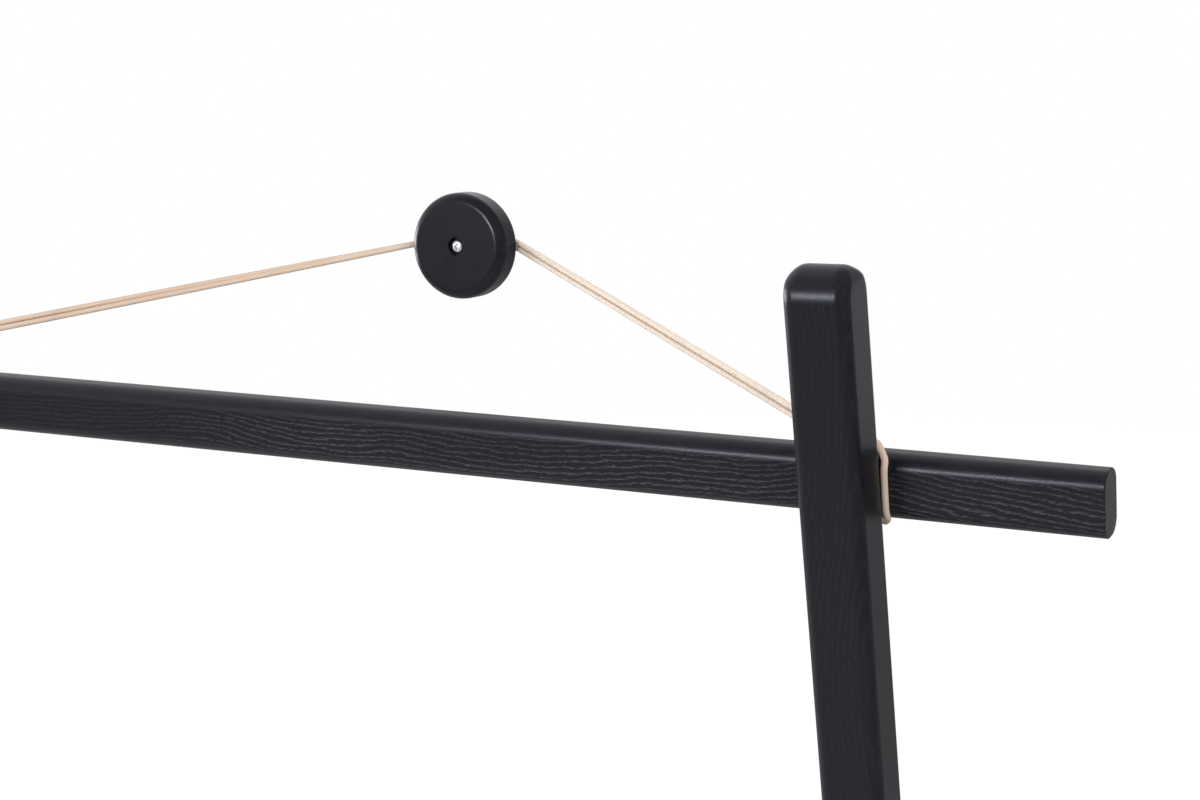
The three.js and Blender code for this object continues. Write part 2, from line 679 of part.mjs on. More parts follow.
/**
 * One strand's stations from a keeper to the neck. The pair's middle runs straight to the rim,
 * bends round the disc's back edge and lies along the disc's back. On the right the strands are
 * stacked from the keeper to the rim and come side by side on the way to the neck; on the left
 * they turn evenly from the keeper to the rim.
 */
function strandSide(sign, rank) {
  const stackedAtRim = sign > 0 ? Math.PI / 2 : 0; // turn of the pair, 0 is side by side
  const offset = (turn) => ride + (STRAND_PITCH / 2) * Math.cos(turn);
  const edgeX = KNOB_DIAMETER / 2 - KNOB_BACK_RADIUS;
  const edgeY = discBack - KNOB_BACK_RADIUS;
  const middle = keeperFace(sign, 0, true);
  const rimRide = KNOB_BACK_RADIUS + offset(stackedAtRim);
  const run = Math.hypot(Math.abs(middle.x) - edgeX, edgeY - middle.y);
  const rimTurn = Math.atan2(edgeY - middle.y, Math.abs(middle.x) - edgeX) + Math.asin(rimRide / run);

  const drop = knobZ - middle.z;
  const span = Math.abs(middle.x);
  const fromLevel = Math.acos(neckRide / Math.hypot(drop, span)) - Math.atan2(drop, span);
  const leaveX = neckRide * Math.cos(fromLevel);
  const leaveZ = knobZ + neckRide * Math.sin(fromLevel);
  const levelAt = (x) => leaveZ + ((middle.z - leaveZ) * (x - leaveX)) / (span - leaveX);

  const middleLine = [{ x: span, y: middle.y, turn: Math.PI / 2 }];
  const rimX = edgeX + rimRide * Math.sin(rimTurn);
  const rimY = edgeY + rimRide * Math.cos(rimTurn);
  for (const share of SPAN_STATIONS) {
    middleLine.push({
      x: span + (rimX - span) * share,
      y: middle.y + (rimY - middle.y) * share,
      turn: THREE.MathUtils.lerp(Math.PI / 2, stackedAtRim, share),
    });
  }
  for (const share of RIM_STATIONS) {
    middleLine.push({
      x: edgeX + rimRide * Math.sin(rimTurn * share),
      y: edgeY + rimRide * Math.cos(rimTurn * share),
      turn: stackedAtRim,
    });
  }
  for (const share of BACK_STATIONS) {
    const turn = stackedAtRim * Math.max(0, 1 - share / TURN_END);
    middleLine.push({ x: edgeX + (leaveX - edgeX) * share, y: discBack + offset(turn), turn });
  }

  const stations = middleLine.map(({ x, y, turn }) => {
    return { at: new THREE.Vector3(sign * x, y, levelAt(x)), turn };
  });
  return stations.map(({ at, turn }, index) => {
    const before = stations[Math.max(index - 1, 0)].at;
    const after = stations[Math.min(index + 1, stations.length - 1)].at;
    const along = after.clone().sub(before).normalize();
    const up = uprightTo(along);
    const wallward = up.clone().cross(along);
    if (wallward.y < 0) {
      wallward.negate();
    }
    return at.clone()
      .addScaledVector(wallward, (rank * STRAND_PITCH * Math.cos(turn)) / 2)
      .addScaledVector(up, (rank * STRAND_PITCH * Math.sin(turn)) / 2);
  });
}

/** One strand from the left keeper over the knob's neck to the right keeper. */
function strandRoute(rank) {
  const top = new THREE.Vector3(
    0,
    discBack + ride + ((1 + rank) * STRAND_PITCH) / 2,
    knobZ + neckRide,
  );
  return [...strandSide(-1, rank), top, ...strandSide(1, rank).reverse()];
}

/** A loop from the keeper's lower strand round under the bar, up its front and back over the top. */
function loopRoute(sign) {
  const stationTurn = Math.PI / 2 / LOOP_CORNER_STEPS;
  const radius = (BAR_EDGE_RADIUS + ride) / Math.cos(stationTurn / 2); // flats clear the wood
  const flatY = BAR_THICKNESS / 2 - BAR_EDGE_RADIUS;
  const flatZ = BAR_HEIGHT / 2 - BAR_EDGE_RADIUS;
  const inWorld = (x, behind, up) =>
    frame.localToWorld(new THREE.Vector3(sign * x, barDepth + behind, topBarUp + up));
  const heldRun = radius * THREE.MathUtils.degToRad(LOOP_HELD_TURN); // still against the post
  const station = (rank, way, turns) => {
    const angle = turns * stationTurn;
    const passed = radius * (Math.PI / 2 + way * angle) + (way === REARWARD ? 2 * flatY : 0);
    const x = loopX - LOOP_SLANT * Math.max(0, passed - heldRun);
    const up = rank * (flatZ + radius * Math.cos(angle));
    return inWorld(x, way * (flatY + radius * Math.sin(angle)), up);
  };
  const half = (rank) => {
    const face = keeperFace(sign, rank, false);
    const path = [face, face.clone().addScaledVector(cordDirection(sign), -CORD_DIAMETER)];
    for (let turns = LOOP_REAR_STEPS; turns >= 0; turns -= 1) {
      path.push(station(rank, REARWARD, turns));
    }
    for (let turns = 0; turns <= LOOP_CORNER_STEPS; turns += 1) {
      path.push(station(rank, FORWARD, turns));
    }
    return path;
  };
  const front = inWorld(loopX, -flatY - radius, 0);
  return [...half(-1), front, ...half(1).reverse()];
}

const cord = new THREE.Group();
cord.add(piece("cord_strand_front", tubeThrough(strandRoute(-1), CORD_DIAMETER), leather));
cord.add(piece("cord_strand_rear", tubeThrough(strandRoute(1), CORD_DIAMETER), leather));
for (const place of sides) {
  cord.add(keeper(place));
  cord.add(piece(`cord_loop_${place.side}`, tubeThrough(loopRoute(place.sign), CORD_DIAMETER), leather));
}

// ---- The whole stand, its origin on the floor below the middle of its outline ----------------------

const stand = new THREE.Group();
stand.add(frame, wallPieces, cord, ...sides.map(footPad));
stand.updateMatrixWorld(true);
const outline = new THREE.Box3().setFromObject(stand, true);
stand.position.y = -(outline.min.y + outline.max.y) / 2;
stand.updateMatrixWorld(true);

export default stand;
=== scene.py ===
"""Looks of a wall-tethered kimono stand, in metres, +Z up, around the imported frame.

Two black-stained ash posts lean away from the wall and carry a flat-oval bar behind them. A doubled
leather cord runs from each end of the bar over the neck of a turned wall knob. Each sub-assembly is
a class that holds its sizes, builds its meshes and dresses them; each finish is a class of its own.
"""

import logging
import math
from collections.abc import Iterable, Sequence
from dataclasses import dataclass, field
from enum import Enum

import bmesh
import bpy
from mathutils import Matrix, Vector


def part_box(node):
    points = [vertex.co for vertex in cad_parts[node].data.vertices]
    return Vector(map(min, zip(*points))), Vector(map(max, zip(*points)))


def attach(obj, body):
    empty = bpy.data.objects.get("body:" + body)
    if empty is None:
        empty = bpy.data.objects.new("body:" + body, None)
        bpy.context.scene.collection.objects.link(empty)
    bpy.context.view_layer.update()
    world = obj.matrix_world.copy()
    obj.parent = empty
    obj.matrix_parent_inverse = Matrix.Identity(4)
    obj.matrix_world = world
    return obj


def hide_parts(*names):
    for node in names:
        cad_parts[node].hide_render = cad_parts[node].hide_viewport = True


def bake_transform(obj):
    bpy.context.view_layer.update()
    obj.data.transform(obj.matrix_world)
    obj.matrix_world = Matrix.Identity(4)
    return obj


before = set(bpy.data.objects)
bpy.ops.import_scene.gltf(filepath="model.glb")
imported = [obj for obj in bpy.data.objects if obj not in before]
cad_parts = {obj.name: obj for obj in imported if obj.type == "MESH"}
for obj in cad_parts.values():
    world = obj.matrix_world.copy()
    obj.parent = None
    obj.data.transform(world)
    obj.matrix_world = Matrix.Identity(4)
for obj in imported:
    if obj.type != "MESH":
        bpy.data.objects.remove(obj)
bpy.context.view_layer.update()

MM = 0.001
FLATS_LEAD = 90  # of 100, how far a piece's large flats lead its shading

LOG = logging.getLogger("kimono_stand")

# ---- Clearances that the pieces share ----------------------------------------------------------

SEAT_GAP = 0.3 * MM  # between pieces that rest on each other
HOLE_CLEARANCE = 0.3 * MM  # round a shank or a dowel in its hole

Profile = Sequence[tuple[float, float]]
Ring = Sequence[Vector]


class Named(Enum):
    """A choice whose members know how the nodes spell them."""

    @property
    def word(self) -> str:
        """The member's name as the nodes spell it."""
        return self.name.lower()


class Side(Named):
    """The two ends of the stand, with the sign of their x."""

    LEFT = -1
    RIGHT = 1


class Crossing(Named):
    """The two levels at which a bar crosses the posts, each with its bar's node."""

    TOP = "top_bar"
    LOW = "lower_rail"


class Body(Enum):
    """The bodies that the pieces ride on."""

    WALL = "wall_anchor"
    FRAME = "frame"


# ---- Mesh making --------------------------------------------------------------------------------


def spread(count: int) -> list[float]:
    """Even shares from 0 to 1, both ends included.

    Args:
        count: Number of stretches between the shares.

    Returns:
        The count + 1 shares.
    """
    return [step / count for step in range(count + 1)]


def full_turn(steps: int) -> list[float]:
    """The angles of even steps round a circle, in radians."""
    return [math.tau * step / steps for step in range(steps)]


def beside_y(radius: float, angle: float, y: float) -> Vector:
    """The point at a radius and an angle about the y axis."""
    return Vector((radius * math.cos(angle), y, radius * math.sin(angle)))


def section_at(x: float, outline: Profile) -> list[Vector]:
    """An outline of (y, z) points as a ring that stands across the x axis."""
    return [Vector((x, y, z)) for y, z in outline]


def loose(diameter: float) -> float:
    """The width of the hole for a shank or a dowel."""
    return diameter + 2 * HOLE_CLEARANCE


def line_length(points: Sequence[Vector]) -> float:
    """The length of a line of points."""
    return sum((b - a).length for a, b in zip(points, points[1:]))


def headings(points: Sequence[Vector]) -> list[Vector]:
    """The directions in which a line of points runs.

    Args:
        points: The line's points.

    Returns:
        A unit vector for each point.
    """
    before = [points[0], *points[:-1]]
    beyond = [*points[1:], points[-1]]
    return [(b - a).normalized() for a, b in zip(before, beyond)]


def arc(centre: tuple[float, float], radius: float, degrees: tuple[float, float], steps: int) -> list:
    """Points of a circular arc in a plane.

    Args:
        centre: The arc's centre.
        radius: The arc's radius.
        degrees: Angles at which the arc starts and ends.
        steps: Number of stretches.

    Returns:
        The arc's points as pairs.
    """
    points = []
    for share in spread(steps):
        angle = math.radians(degrees[0] + (degrees[1] - degrees[0]) * share)
        points.append((centre[0] + radius * math.cos(angle), centre[1] + radius * math.sin(angle)))
    return points


def rounded_rectangle(width: float, height: float, radius: float, steps: int = 10) -> list:
    """Corners of a rounded rectangle about the origin, counter-clockwise.

    Args:
        width: Size along the first axis.
        height: Size along the second axis.
        radius: Corner radius.
        steps: Stretches round each corner.

    Returns:
        The outline's points as pairs.
    """
    points = []
    for quarter, (side_x, side_y) in enumerate([(1, 1), (-1, 1), (-1, -1), (1, -1)]):
        centre = (side_x * (width / 2 - radius), side_y * (height / 2 - radius))
        points += arc(centre, radius, (90 * quarter, 90 * quarter + 90), steps)
    return points


def eased_ends(half: float, ease: float, steps: int) -> list[tuple[float, float]]:
    """Stations along a piece whose two ends are rounded over.

    Args:
        half: Half the piece's length.
        ease: Radius of the rounding.
        steps: Stretches of each rounding.

    Returns:
        Places with the outline's inset there, from one end to the other.
    """
    near = [(half - ease + x, ease - y) for x, y in arc((0, 0), ease, (0, 90), steps)]
    return [(-x, inset) for x, inset in near] + near[::-1]


def loft(rings: Sequence[Ring], closed_ends: bool = True, closed_loop: bool = False) -> bmesh.types.BMesh:
    """A body through rings of equal count, wound so that its faces point out.

    Args:
        rings: The rings in order.
        closed_ends: Whether the first and the last ring get a flat face.
        closed_loop: Whether the last ring joins the first.

    Returns:
        The body.
    """
    mesh = bmesh.new()
    rows = [[mesh.verts.new(point) for point in ring] for ring in rings]
    count = len(rows[0])
    pairs = list(zip(rows, rows[1:]))
    if closed_loop:
        pairs.append((rows[-1], rows[0]))
    for low, high in pairs:
        for i in range(count):
            after = (i + 1) % count
            mesh.faces.new((low[i], low[after], high[after], high[i]))
    if closed_ends:
        mesh.faces.new(rows[0])
        mesh.faces.new(rows[-1])
    bmesh.ops.recalc_face_normals(mesh, faces=mesh.faces)
    return mesh


def lathe(profile: Profile, steps: int, closed: bool = False) -> bmesh.types.BMesh:
    """A body turned about the Y axis.

    Args:
        profile: (radius, y) points; an open profile starts and ends on the axis.
        steps: Stretches round the axis.
        closed: Whether the profile closes on itself, as round a bore.

    Returns:
        The body.
    """
    tiny = 1e-7
    rings = [[beside_y(radius, angle, y) for angle in full_turn(steps)] for radius, y in profile]
    mesh = loft(rings, closed_ends=False, closed_loop=closed)
    if not closed:
        bmesh.ops.remove_doubles(mesh, verts=mesh.verts, dist=tiny)
    bmesh.ops.recalc_face_normals(mesh, faces=mesh.faces)
    return mesh


def threaded_rod(
    core: float, crest: float, pitch: float, ends: tuple[float, float], point: float,
) -> bmesh.types.BMesh:
    """A threaded shank along Y.

    Args:
        core: Radius at the thread's root.
        crest: Radius at the thread's crest.
        pitch: Length of one turn.
        ends: Levels at which the shank starts and ends.
        point: Length over which its end narrows to nothing, 0 for a blunt end.

    Returns:
        The body.
    """
    around, per_turn = 24, 8
    flank = 0.32  # share of a turn that each side of the ridge takes
    needle = 0.02  # the least radius as a share of the crest's
    start, end = ends
    rows = max(2, round(abs(end - start) / pitch * per_turn))
    rings = []
    for row in range(rows + 1):
        y = start + (end - start) * row / rows
        narrow = min(1.0, abs(end - y) / point) if point else 1.0
        ring = []
        for step, angle in enumerate(full_turn(around)):
            phase = (abs(y - start) / pitch - step / around) % 1
            ridge = max(0.0, 1 - abs(phase - 0.5) / flank)
            radius = max((core + (crest - core) * ridge) * narrow, needle * crest)
            ring.append(beside_y(radius, angle, y))
        rings.append(ring)
    return loft(rings)


def rod(radius: float, start: float, end: float, steps: int = 48) -> bmesh.types.BMesh:
    """A plain cylinder along Y between two levels, as a drill's shape.

    Args:
        radius: The cylinder's radius.
        start: Its first level.
        end: Its last level.
        steps: Stretches round the axis; 6 makes a hexagon.

    Returns:
        The body.
    """
    return lathe([(0, start), (radius, start), (radius, end), (0, end)], steps)


def moved(mesh: bmesh.types.BMesh, place: Matrix) -> bmesh.types.BMesh:
    """The same body after a transform.

    Args:
        mesh: The body, which is changed.
        place: The transform.

    Returns:
        The body.
    """
    mesh.transform(place)
    return mesh


def to_object(name: str, mesh: bmesh.types.BMesh, place: Matrix) -> bpy.types.Object:
    """A body as an object of the scene.

    Args:
        name: The object's name.
        mesh: The body, which is used up.
        place: The object's matrix.

    Returns:
        The object.
    """
    data = bpy.data.meshes.new(name)
    mesh.to_mesh(data)
    mesh.free()
    made = bpy.data.objects.new(name, data)
    made.matrix_world = place
    bpy.context.scene.collection.objects.link(made)
    return made


def add_body(made: bpy.types.Object, body: bmesh.types.BMesh) -> None:
    """Adds a second body to an object's mesh.

    Args:
        made: The object.
        body: The body, which is used up.
    """
    part = bpy.data.meshes.new("part")
    body.to_mesh(part)
    body.free()
    joined = bmesh.new()
    joined.from_mesh(made.data)
    joined.from_mesh(part)
    joined.to_mesh(made.data)
    joined.free()
    bpy.data.meshes.remove(part)


def bake_modifiers(made: bpy.types.Object) -> None:
    """Applies an object's modifiers to its mesh.

    Args:
        made: The object.
    """
    depsgraph = bpy.context.evaluated_depsgraph_get()
    data = bpy.data.meshes.new_from_object(made.evaluated_get(depsgraph), depsgraph=depsgraph)
    made.modifiers.clear()
    old, made.data = made.data, data
    bpy.data.meshes.remove(old)


def drill(made: bpy.types.Object, tools: Iterable[bmesh.types.BMesh]) -> None:
    """Cuts tools out of an object, one after the other.

    Args:
        made: The object.
        tools: Bodies in the object's own space.
    """
    for number, tool in enumerate(tools):
        cutter = to_object(f"{made.name}_tool_{number}", tool, made.matrix_world)
        cutter.hide_render = True
        bite = made.modifiers.new("bite", "BOOLEAN")
        bite.operation = "DIFFERENCE"
        bite.solver = "EXACT"
        bite.object = cutter
        bake_modifiers(made)
        bpy.data.objects.remove(cutter)


def smooth(made: bpy.types.Object, crease_degrees: float = 40, weighted: bool = True) -> None:
    """Smooths an object's rounded edges and keeps its flats flat.

    Args:
        made: The object.
        crease_degrees: Edges that turn more than this stay sharp.
        weighted: Whether large flats lead the shading, as on a planed piece.
    """
    body = bmesh.new()
    body.from_mesh(made.data)
    for face in body.faces:
        face.smooth = True
    crease = math.radians(crease_degrees)
    for edge in body.edges:
        edge.smooth = len(edge.link_faces) == 2 and edge.calc_face_angle(0) < crease
    body.to_mesh(made.data)
    body.free()
    if weighted:
        weigh = made.modifiers.new("flats", "WEIGHTED_NORMAL")
        weigh.keep_sharp = True
        weigh.weight = FLATS_LEAD
        bake_modifiers(made)


# ---- Shader making ------------------------------------------------------------------------------

Colour = tuple[float, float, float]
Edge = tuple[float, float]


class Nodes:
    """A node tree, with short calls for the nodes that the finishes and the studio use."""

    def __init__(self, tree: bpy.types.NodeTree) -> None:
        """Takes up a tree."""
        self.tree = tree

    def add(self, kind: str, **settings: object) -> bpy.types.Node:
        """Adds a node.

        Args:
            kind: The node's type.
            **settings: Properties to set on it.

        Returns:
            The node.
        """
        node = self.tree.nodes.new(kind)
        for key, value in settings.items():
            setattr(node, key, value)
        return node

    def feed(self, socket: bpy.types.NodeSocket, value: object) -> None:
        """Links an output to a socket, or sets the socket to a plain value.

        Args:
            socket: The input.
            value: An output socket or a value.
        """
        if isinstance(value, bpy.types.NodeSocket):
            self.tree.links.new(value, socket)
        else:
            socket.default_value = value

    def calc(self, operation: str, *values: object, clamp: bool = False) -> bpy.types.NodeSocket:
        """A sum on single values.

        Args:
            operation: The maths node's operation.
            *values: Its inputs, outputs of nodes or numbers.
            clamp: Whether the result is kept between 0 and 1.

        Returns:
            The result's output.
        """
        node = self.add("ShaderNodeMath", operation=operation, use_clamp=clamp)
        for socket, value in zip(node.inputs, values):
            self.feed(socket, value)
        return node.outputs[0]

    def span(self, share: object, low: float, high: float) -> bpy.types.NodeSocket:
        """The value that lies at a share of the way from low to high."""
        return self.calc("MULTIPLY_ADD", share, high - low, low)

    def split(self, vector: bpy.types.NodeSocket) -> list[bpy.types.NodeSocket]:
        """The three parts of a vector or a colour.

        Args:
            vector: The vector or the colour.

        Returns:
            The parts' outputs.
        """
        node = self.add("ShaderNodeSeparateXYZ")
        self.feed(node.inputs[0], vector)
        return list(node.outputs)

    def between(
        self, value: object, low: float, high: float,
        least: float = 0.0, most: float = 1.0, kind: str = "SMOOTHSTEP",
    ) -> bpy.types.NodeSocket:
        """A rise from least at low to most at high.

        Args:
            value: The value that is compared.
            low: Where the rise starts.
            high: Where the rise ends; it may be below low.
            least: The result before the rise.
            most: The result after it.
            kind: The rise's form.

        Returns:
            The rise's output.
        """
        node = self.add("ShaderNodeMapRange", interpolation_type=kind)
        for socket, part in zip(node.inputs, (value, low, high, least, most)):
            self.feed(socket, part)
        return node.outputs[0]


class Paint(Nodes):
    """A material's node tree around one shader."""

    def __init__(self, name: str) -> None:
        """Makes an empty material.

        Args:
            name: The material's name.
        """
        self.material = bpy.data.materials.new(name)
        self.material.use_nodes = True
        super().__init__(self.material.node_tree)
        self.shader = self.tree.nodes["Principled BSDF"]

    def millimetres(self, stretch: Colour = (1, 1, 1)) -> bpy.types.NodeSocket:
        """The piece's own coordinates in millimetres, scaled by axis."""
        return self.scaled(self.add("ShaderNodeTexCoord").outputs["Object"], tuple(1000 * s for s in stretch))

    def scaled(
        self, source: bpy.types.NodeSocket, stretch: Colour, offset: Colour = (0, 0, 0),
    ) -> bpy.types.NodeSocket:
        """A vector scaled by axis and moved.

        Args:
            source: The vector.
            stretch: Scale along each axis.
            offset: Added after the scale.

        Returns:
            The vector output.
        """
        node = self.add("ShaderNodeVectorMath", operation="MULTIPLY_ADD")
        for socket, value in zip(node.inputs, (source, stretch, offset)):
            self.feed(socket, value)
        return node.outputs[0]

    def noise(
        self, vector: bpy.types.NodeSocket, scale: float, detail: float = 2, rough: float = 0.5,
    ) -> bpy.types.NodeSocket:
        """Cloudy noise around one half.

        Args:
            vector: Where it is looked up.
            scale: Its fineness.
            detail: Its number of finer layers.
            rough: How much the finer layers count.

        Returns:
            The noise's value output.
        """
        node = self.add("ShaderNodeTexNoise")
        for key, value in (("Vector", vector), ("Scale", scale), ("Detail", detail), ("Roughness", rough)):
            self.feed(node.inputs[key], value)
        return node.outputs["Fac"]

    def grained(
        self, place: bpy.types.NodeSocket, fineness: Colour,
        detail: float = 2, rough: float = 0.5, offset: Colour = (0, 0, 0),
    ) -> bpy.types.NodeSocket:
        """Noise with a fineness of its own along each axis.

        Args:
            place: Where it is looked up, in millimetres.
            fineness: Its fineness along, across and up.
            detail: Its number of finer layers.
            rough: How much the finer layers count.
            offset: Where in the noise the piece lies.

        Returns:
            The noise's value output.
        """
        return self.noise(self.scaled(place, fineness, offset), 1.0, detail, rough)

    def mix(self, share: object, first: object, second: object) -> bpy.types.NodeSocket:
        """A colour between two colours.

        Args:
            share: 0 for the first, 1 for the second.
            first: A colour or an output.
            second: A colour or an output.

        Returns:
            The colour's output.
        """
        node = self.add("ShaderNodeMix", data_type="RGBA")
        self.feed(node.inputs[0], share)
        for socket, colour in zip(node.inputs[6:8], (first, second)):  # the two colours' sockets
            self.feed(socket, (*colour, 1.0) if isinstance(colour, tuple) else colour)
        return node.outputs[2]

    def relief(self, height: object, depth: float) -> None:
        """Gives the shader a relief.

        Args:
            height: Height from 0 to 1.
            depth: The height's size in metres.
        """
        node = self.add("ShaderNodeBump")
        self.feed(node.inputs["Height"], height)
        self.feed(node.inputs["Distance"], depth)
        self.feed(self.shader.inputs["Normal"], node.outputs[0])

    def finish(self, **inputs: object) -> bpy.types.Material:
        """Feeds the shader's sockets and gives the material.

        Args:
            **inputs: Values or outputs by socket name, with _ for a space.

        Returns:
            The material.
        """
        for key, value in inputs.items():
            name = key.replace("_", " ")
            if isinstance(value, tuple) and len(value) == 3:
                value = (*value, 1.0)
            self.feed(self.shader.inputs[name], value)
        return self.material


@dataclass(frozen=True)
class Sawing:
    """How one piece was sawn: distances in millimetres from its middle, x along the wood.

    Above one height and before one place along the wood only a share of the grain is left.
    """

    pith: tuple[float, float]
    seed: float
    strength: float = 1.0
    calm_above: float = 99.0
    calm_before: float = -999.0
    left_above: float = 0.12
    left_before: float = 0.25
    blend_height: float = 3.0
    blend_length: float = 90.0


@dataclass(frozen=True)
class StainedAsh:
    """Black-stained, open-pored ash: a solid grain of growth rings, whose x runs along the wood.

    Each fineness is that of a noise along, across and up, for each millimetre. Each edge is a pair
    of values between which something comes in smoothly.
    """

    slot: str = "stained_ash"
    stain: Colour = (0.0070, 0.0072, 0.0092)
    pore: Colour = (0.060, 0.060, 0.070)
    sheen: Colour = (0.82, 0.84, 1.0)
    ring_spacing: float = 2.7
    ring_ripple: float = 2.0
    wander: float = 40.0
    wander_pace: float = 0.0042
    ripple_fineness: Colour = (0.03, 0.09, 0.09)
    vessel_fineness: Colour = (0.24, 1.5, 1.5)
    fibre_fineness: Colour = (0.05, 1.4, 1.4)
    patch_fineness: Colour = (0.006, 0.03, 0.03)
    ring_start: Edge = (0.0, 0.10)
    ring_end: Edge = (0.52, 0.24)
    vessel_edge: Edge = (0.42, 0.60)
    patch_edge: Edge = (0.35, 0.65)
    closed_line: float = 0.2
    stray_vessels: float = 0.10
    palest_patch: float = 0.45
    roughness: Edge = (0.26, 0.38)
    rougher_pores: float = 0.2
    fibre_relief: float = 0.2
    relief_depth: float = 0.12 * MM

    def rings(self, paint: Paint, place: bpy.types.NodeSocket, sawing: Sawing) -> bpy.types.NodeSocket:
        """The early wood of the growth rings round a trunk's middle that wanders.

        Args:
            paint: The material that is made.
            place: The piece's own coordinates.
            sawing: How the piece was sawn.

        Returns:
            1 in the early wood and 0 in the late wood.
        """
        along, across, up = paint.split(place)
        bend = paint.add("ShaderNodeTexNoise", noise_dimensions="1D")
        pace = paint.calc("MULTIPLY_ADD", along, self.wander_pace, sawing.seed)
        for key, value in (("W", pace), ("Scale", 1.0), ("Detail", 1.0)):
            paint.feed(bend.inputs[key], value)
        squares = []
        for part, drift, pith in zip((across, up), paint.split(bend.outputs["Color"]), sawing.pith):
            middle_line = paint.calc("MULTIPLY_ADD", drift, self.wander, pith - self.wander / 2)
            squares.append(paint.calc("POWER", paint.calc("SUBTRACT", part, middle_line), 2.0))
        reach = paint.calc("SQRT", paint.calc("ADD", *squares))
        ripple = paint.grained(place, self.ripple_fineness, 4, 0.6, (sawing.seed, 0, 0))
        count = paint.calc("DIVIDE", reach, self.ring_spacing)
        phase = paint.calc("FRACT", paint.calc("MULTIPLY_ADD", ripple, self.ring_ripple, count))
        return paint.calc(
            "MULTIPLY", paint.between(phase, *self.ring_start), paint.between(phase, *self.ring_end),
        )

    def material(self, name: str, sawing: Sawing) -> bpy.types.Material:
        """The finish for one piece.

        Args:
            name: The material's name.
            sawing: The trunk's middle, the grain's seed and strength, and where its grain fades.

        Returns:
            The material.
        """
        paint = Paint(name)
        place = paint.millimetres()
        along, _, up = paint.split(place)
        seed, height, length = sawing.seed, sawing.blend_height, sawing.blend_length
        early = self.rings(paint, place, sawing)
        vessels = paint.between(
            paint.grained(place, self.vessel_fineness, 2, 0.6, (seed, 0, 0)), *self.vessel_edge,
        )
        fibre = paint.grained(place, self.fibre_fineness, 3, 0.6, (0, seed, 0))
        lines = paint.calc("MULTIPLY", early, paint.span(vessels, self.closed_line, 1.0))
        shown = paint.calc("MAXIMUM", lines, paint.calc("MULTIPLY", vessels, self.stray_vessels))
        shown = paint.calc("MULTIPLY", shown, sawing.strength, clamp=True)
        for part, calm, blend, left in (
            (up, sawing.calm_above, -height, sawing.left_above),
            (along, sawing.calm_before, length, sawing.left_before),
        ):
            kept = paint.between(part, calm - blend, calm + blend)
            shown = paint.calc("MULTIPLY", shown, paint.span(kept, left, 1.0))
        cloud = paint.grained(place, self.patch_fineness, offset=(seed, 0, 0))
        patch = paint.span(paint.between(cloud, *self.patch_edge), self.palest_patch, 1.0)
        tone = paint.calc("MULTIPLY", shown, patch, clamp=True)
        colour = paint.mix(tone, self.stain, self.pore)
        paint.relief(paint.calc("MULTIPLY_ADD", fibre, self.fibre_relief, shown), -self.relief_depth)
        rough = paint.span(fibre, *self.roughness)
        rough = paint.calc("MULTIPLY_ADD", shown, self.rougher_pores, rough)
        return paint.finish(
            Base_Color=colour, Roughness=rough, Specular_IOR_Level=0.30, Specular_Tint=self.sheen,
        )


@dataclass(frozen=True)
class StainedKnob:
    """Black-stained turned wood under a smooth satin lacquer."""

    slot: str = "stained_knob"
    stain: Colour = (0.0065, 0.0065, 0.0085)
    worn: Colour = (0.014, 0.014, 0.017)
    sheen: Colour = (0.82, 0.84, 1.0)
    grain_fineness: Colour = (0.06, 0.35, 0.35)
    cloud_fineness: float = 0.05
    speck_fineness: float = 1.9
    speck_edge: Edge = (0.70, 0.76)
    cloud_tone: float = 0.5
    grain_tone: float = 0.15
    grain_relief: float = 0.1
    relief_depth: float = 0.015 * MM
    roughness: Edge = (0.22, 0.30)

    def material(self, name: str) -> bpy.types.Material:
        """The finish for the knob.

        Args:
            name: The material's name.

        Returns:
            The material.
        """
        paint = Paint(name)
        place = paint.millimetres()
        grain = paint.grained(place, self.grain_fineness, 1)
        cloud = paint.noise(place, self.cloud_fineness)
        speck = paint.between(paint.noise(place, self.speck_fineness, 0), *self.speck_edge)
        lines = paint.calc("MULTIPLY", grain, self.grain_tone)
        tone = paint.calc("MULTIPLY_ADD", cloud, self.cloud_tone, lines)
        colour = paint.mix(tone, self.stain, self.worn)
        height = paint.calc("SUBTRACT", paint.calc("MULTIPLY", grain, self.grain_relief), speck)
        paint.relief(height, self.relief_depth)
        rough = paint.span(cloud, *self.roughness)
        return paint.finish(
            Base_Color=colour, Roughness=rough, Specular_IOR_Level=0.28, Specular_Tint=self.sheen,
        )


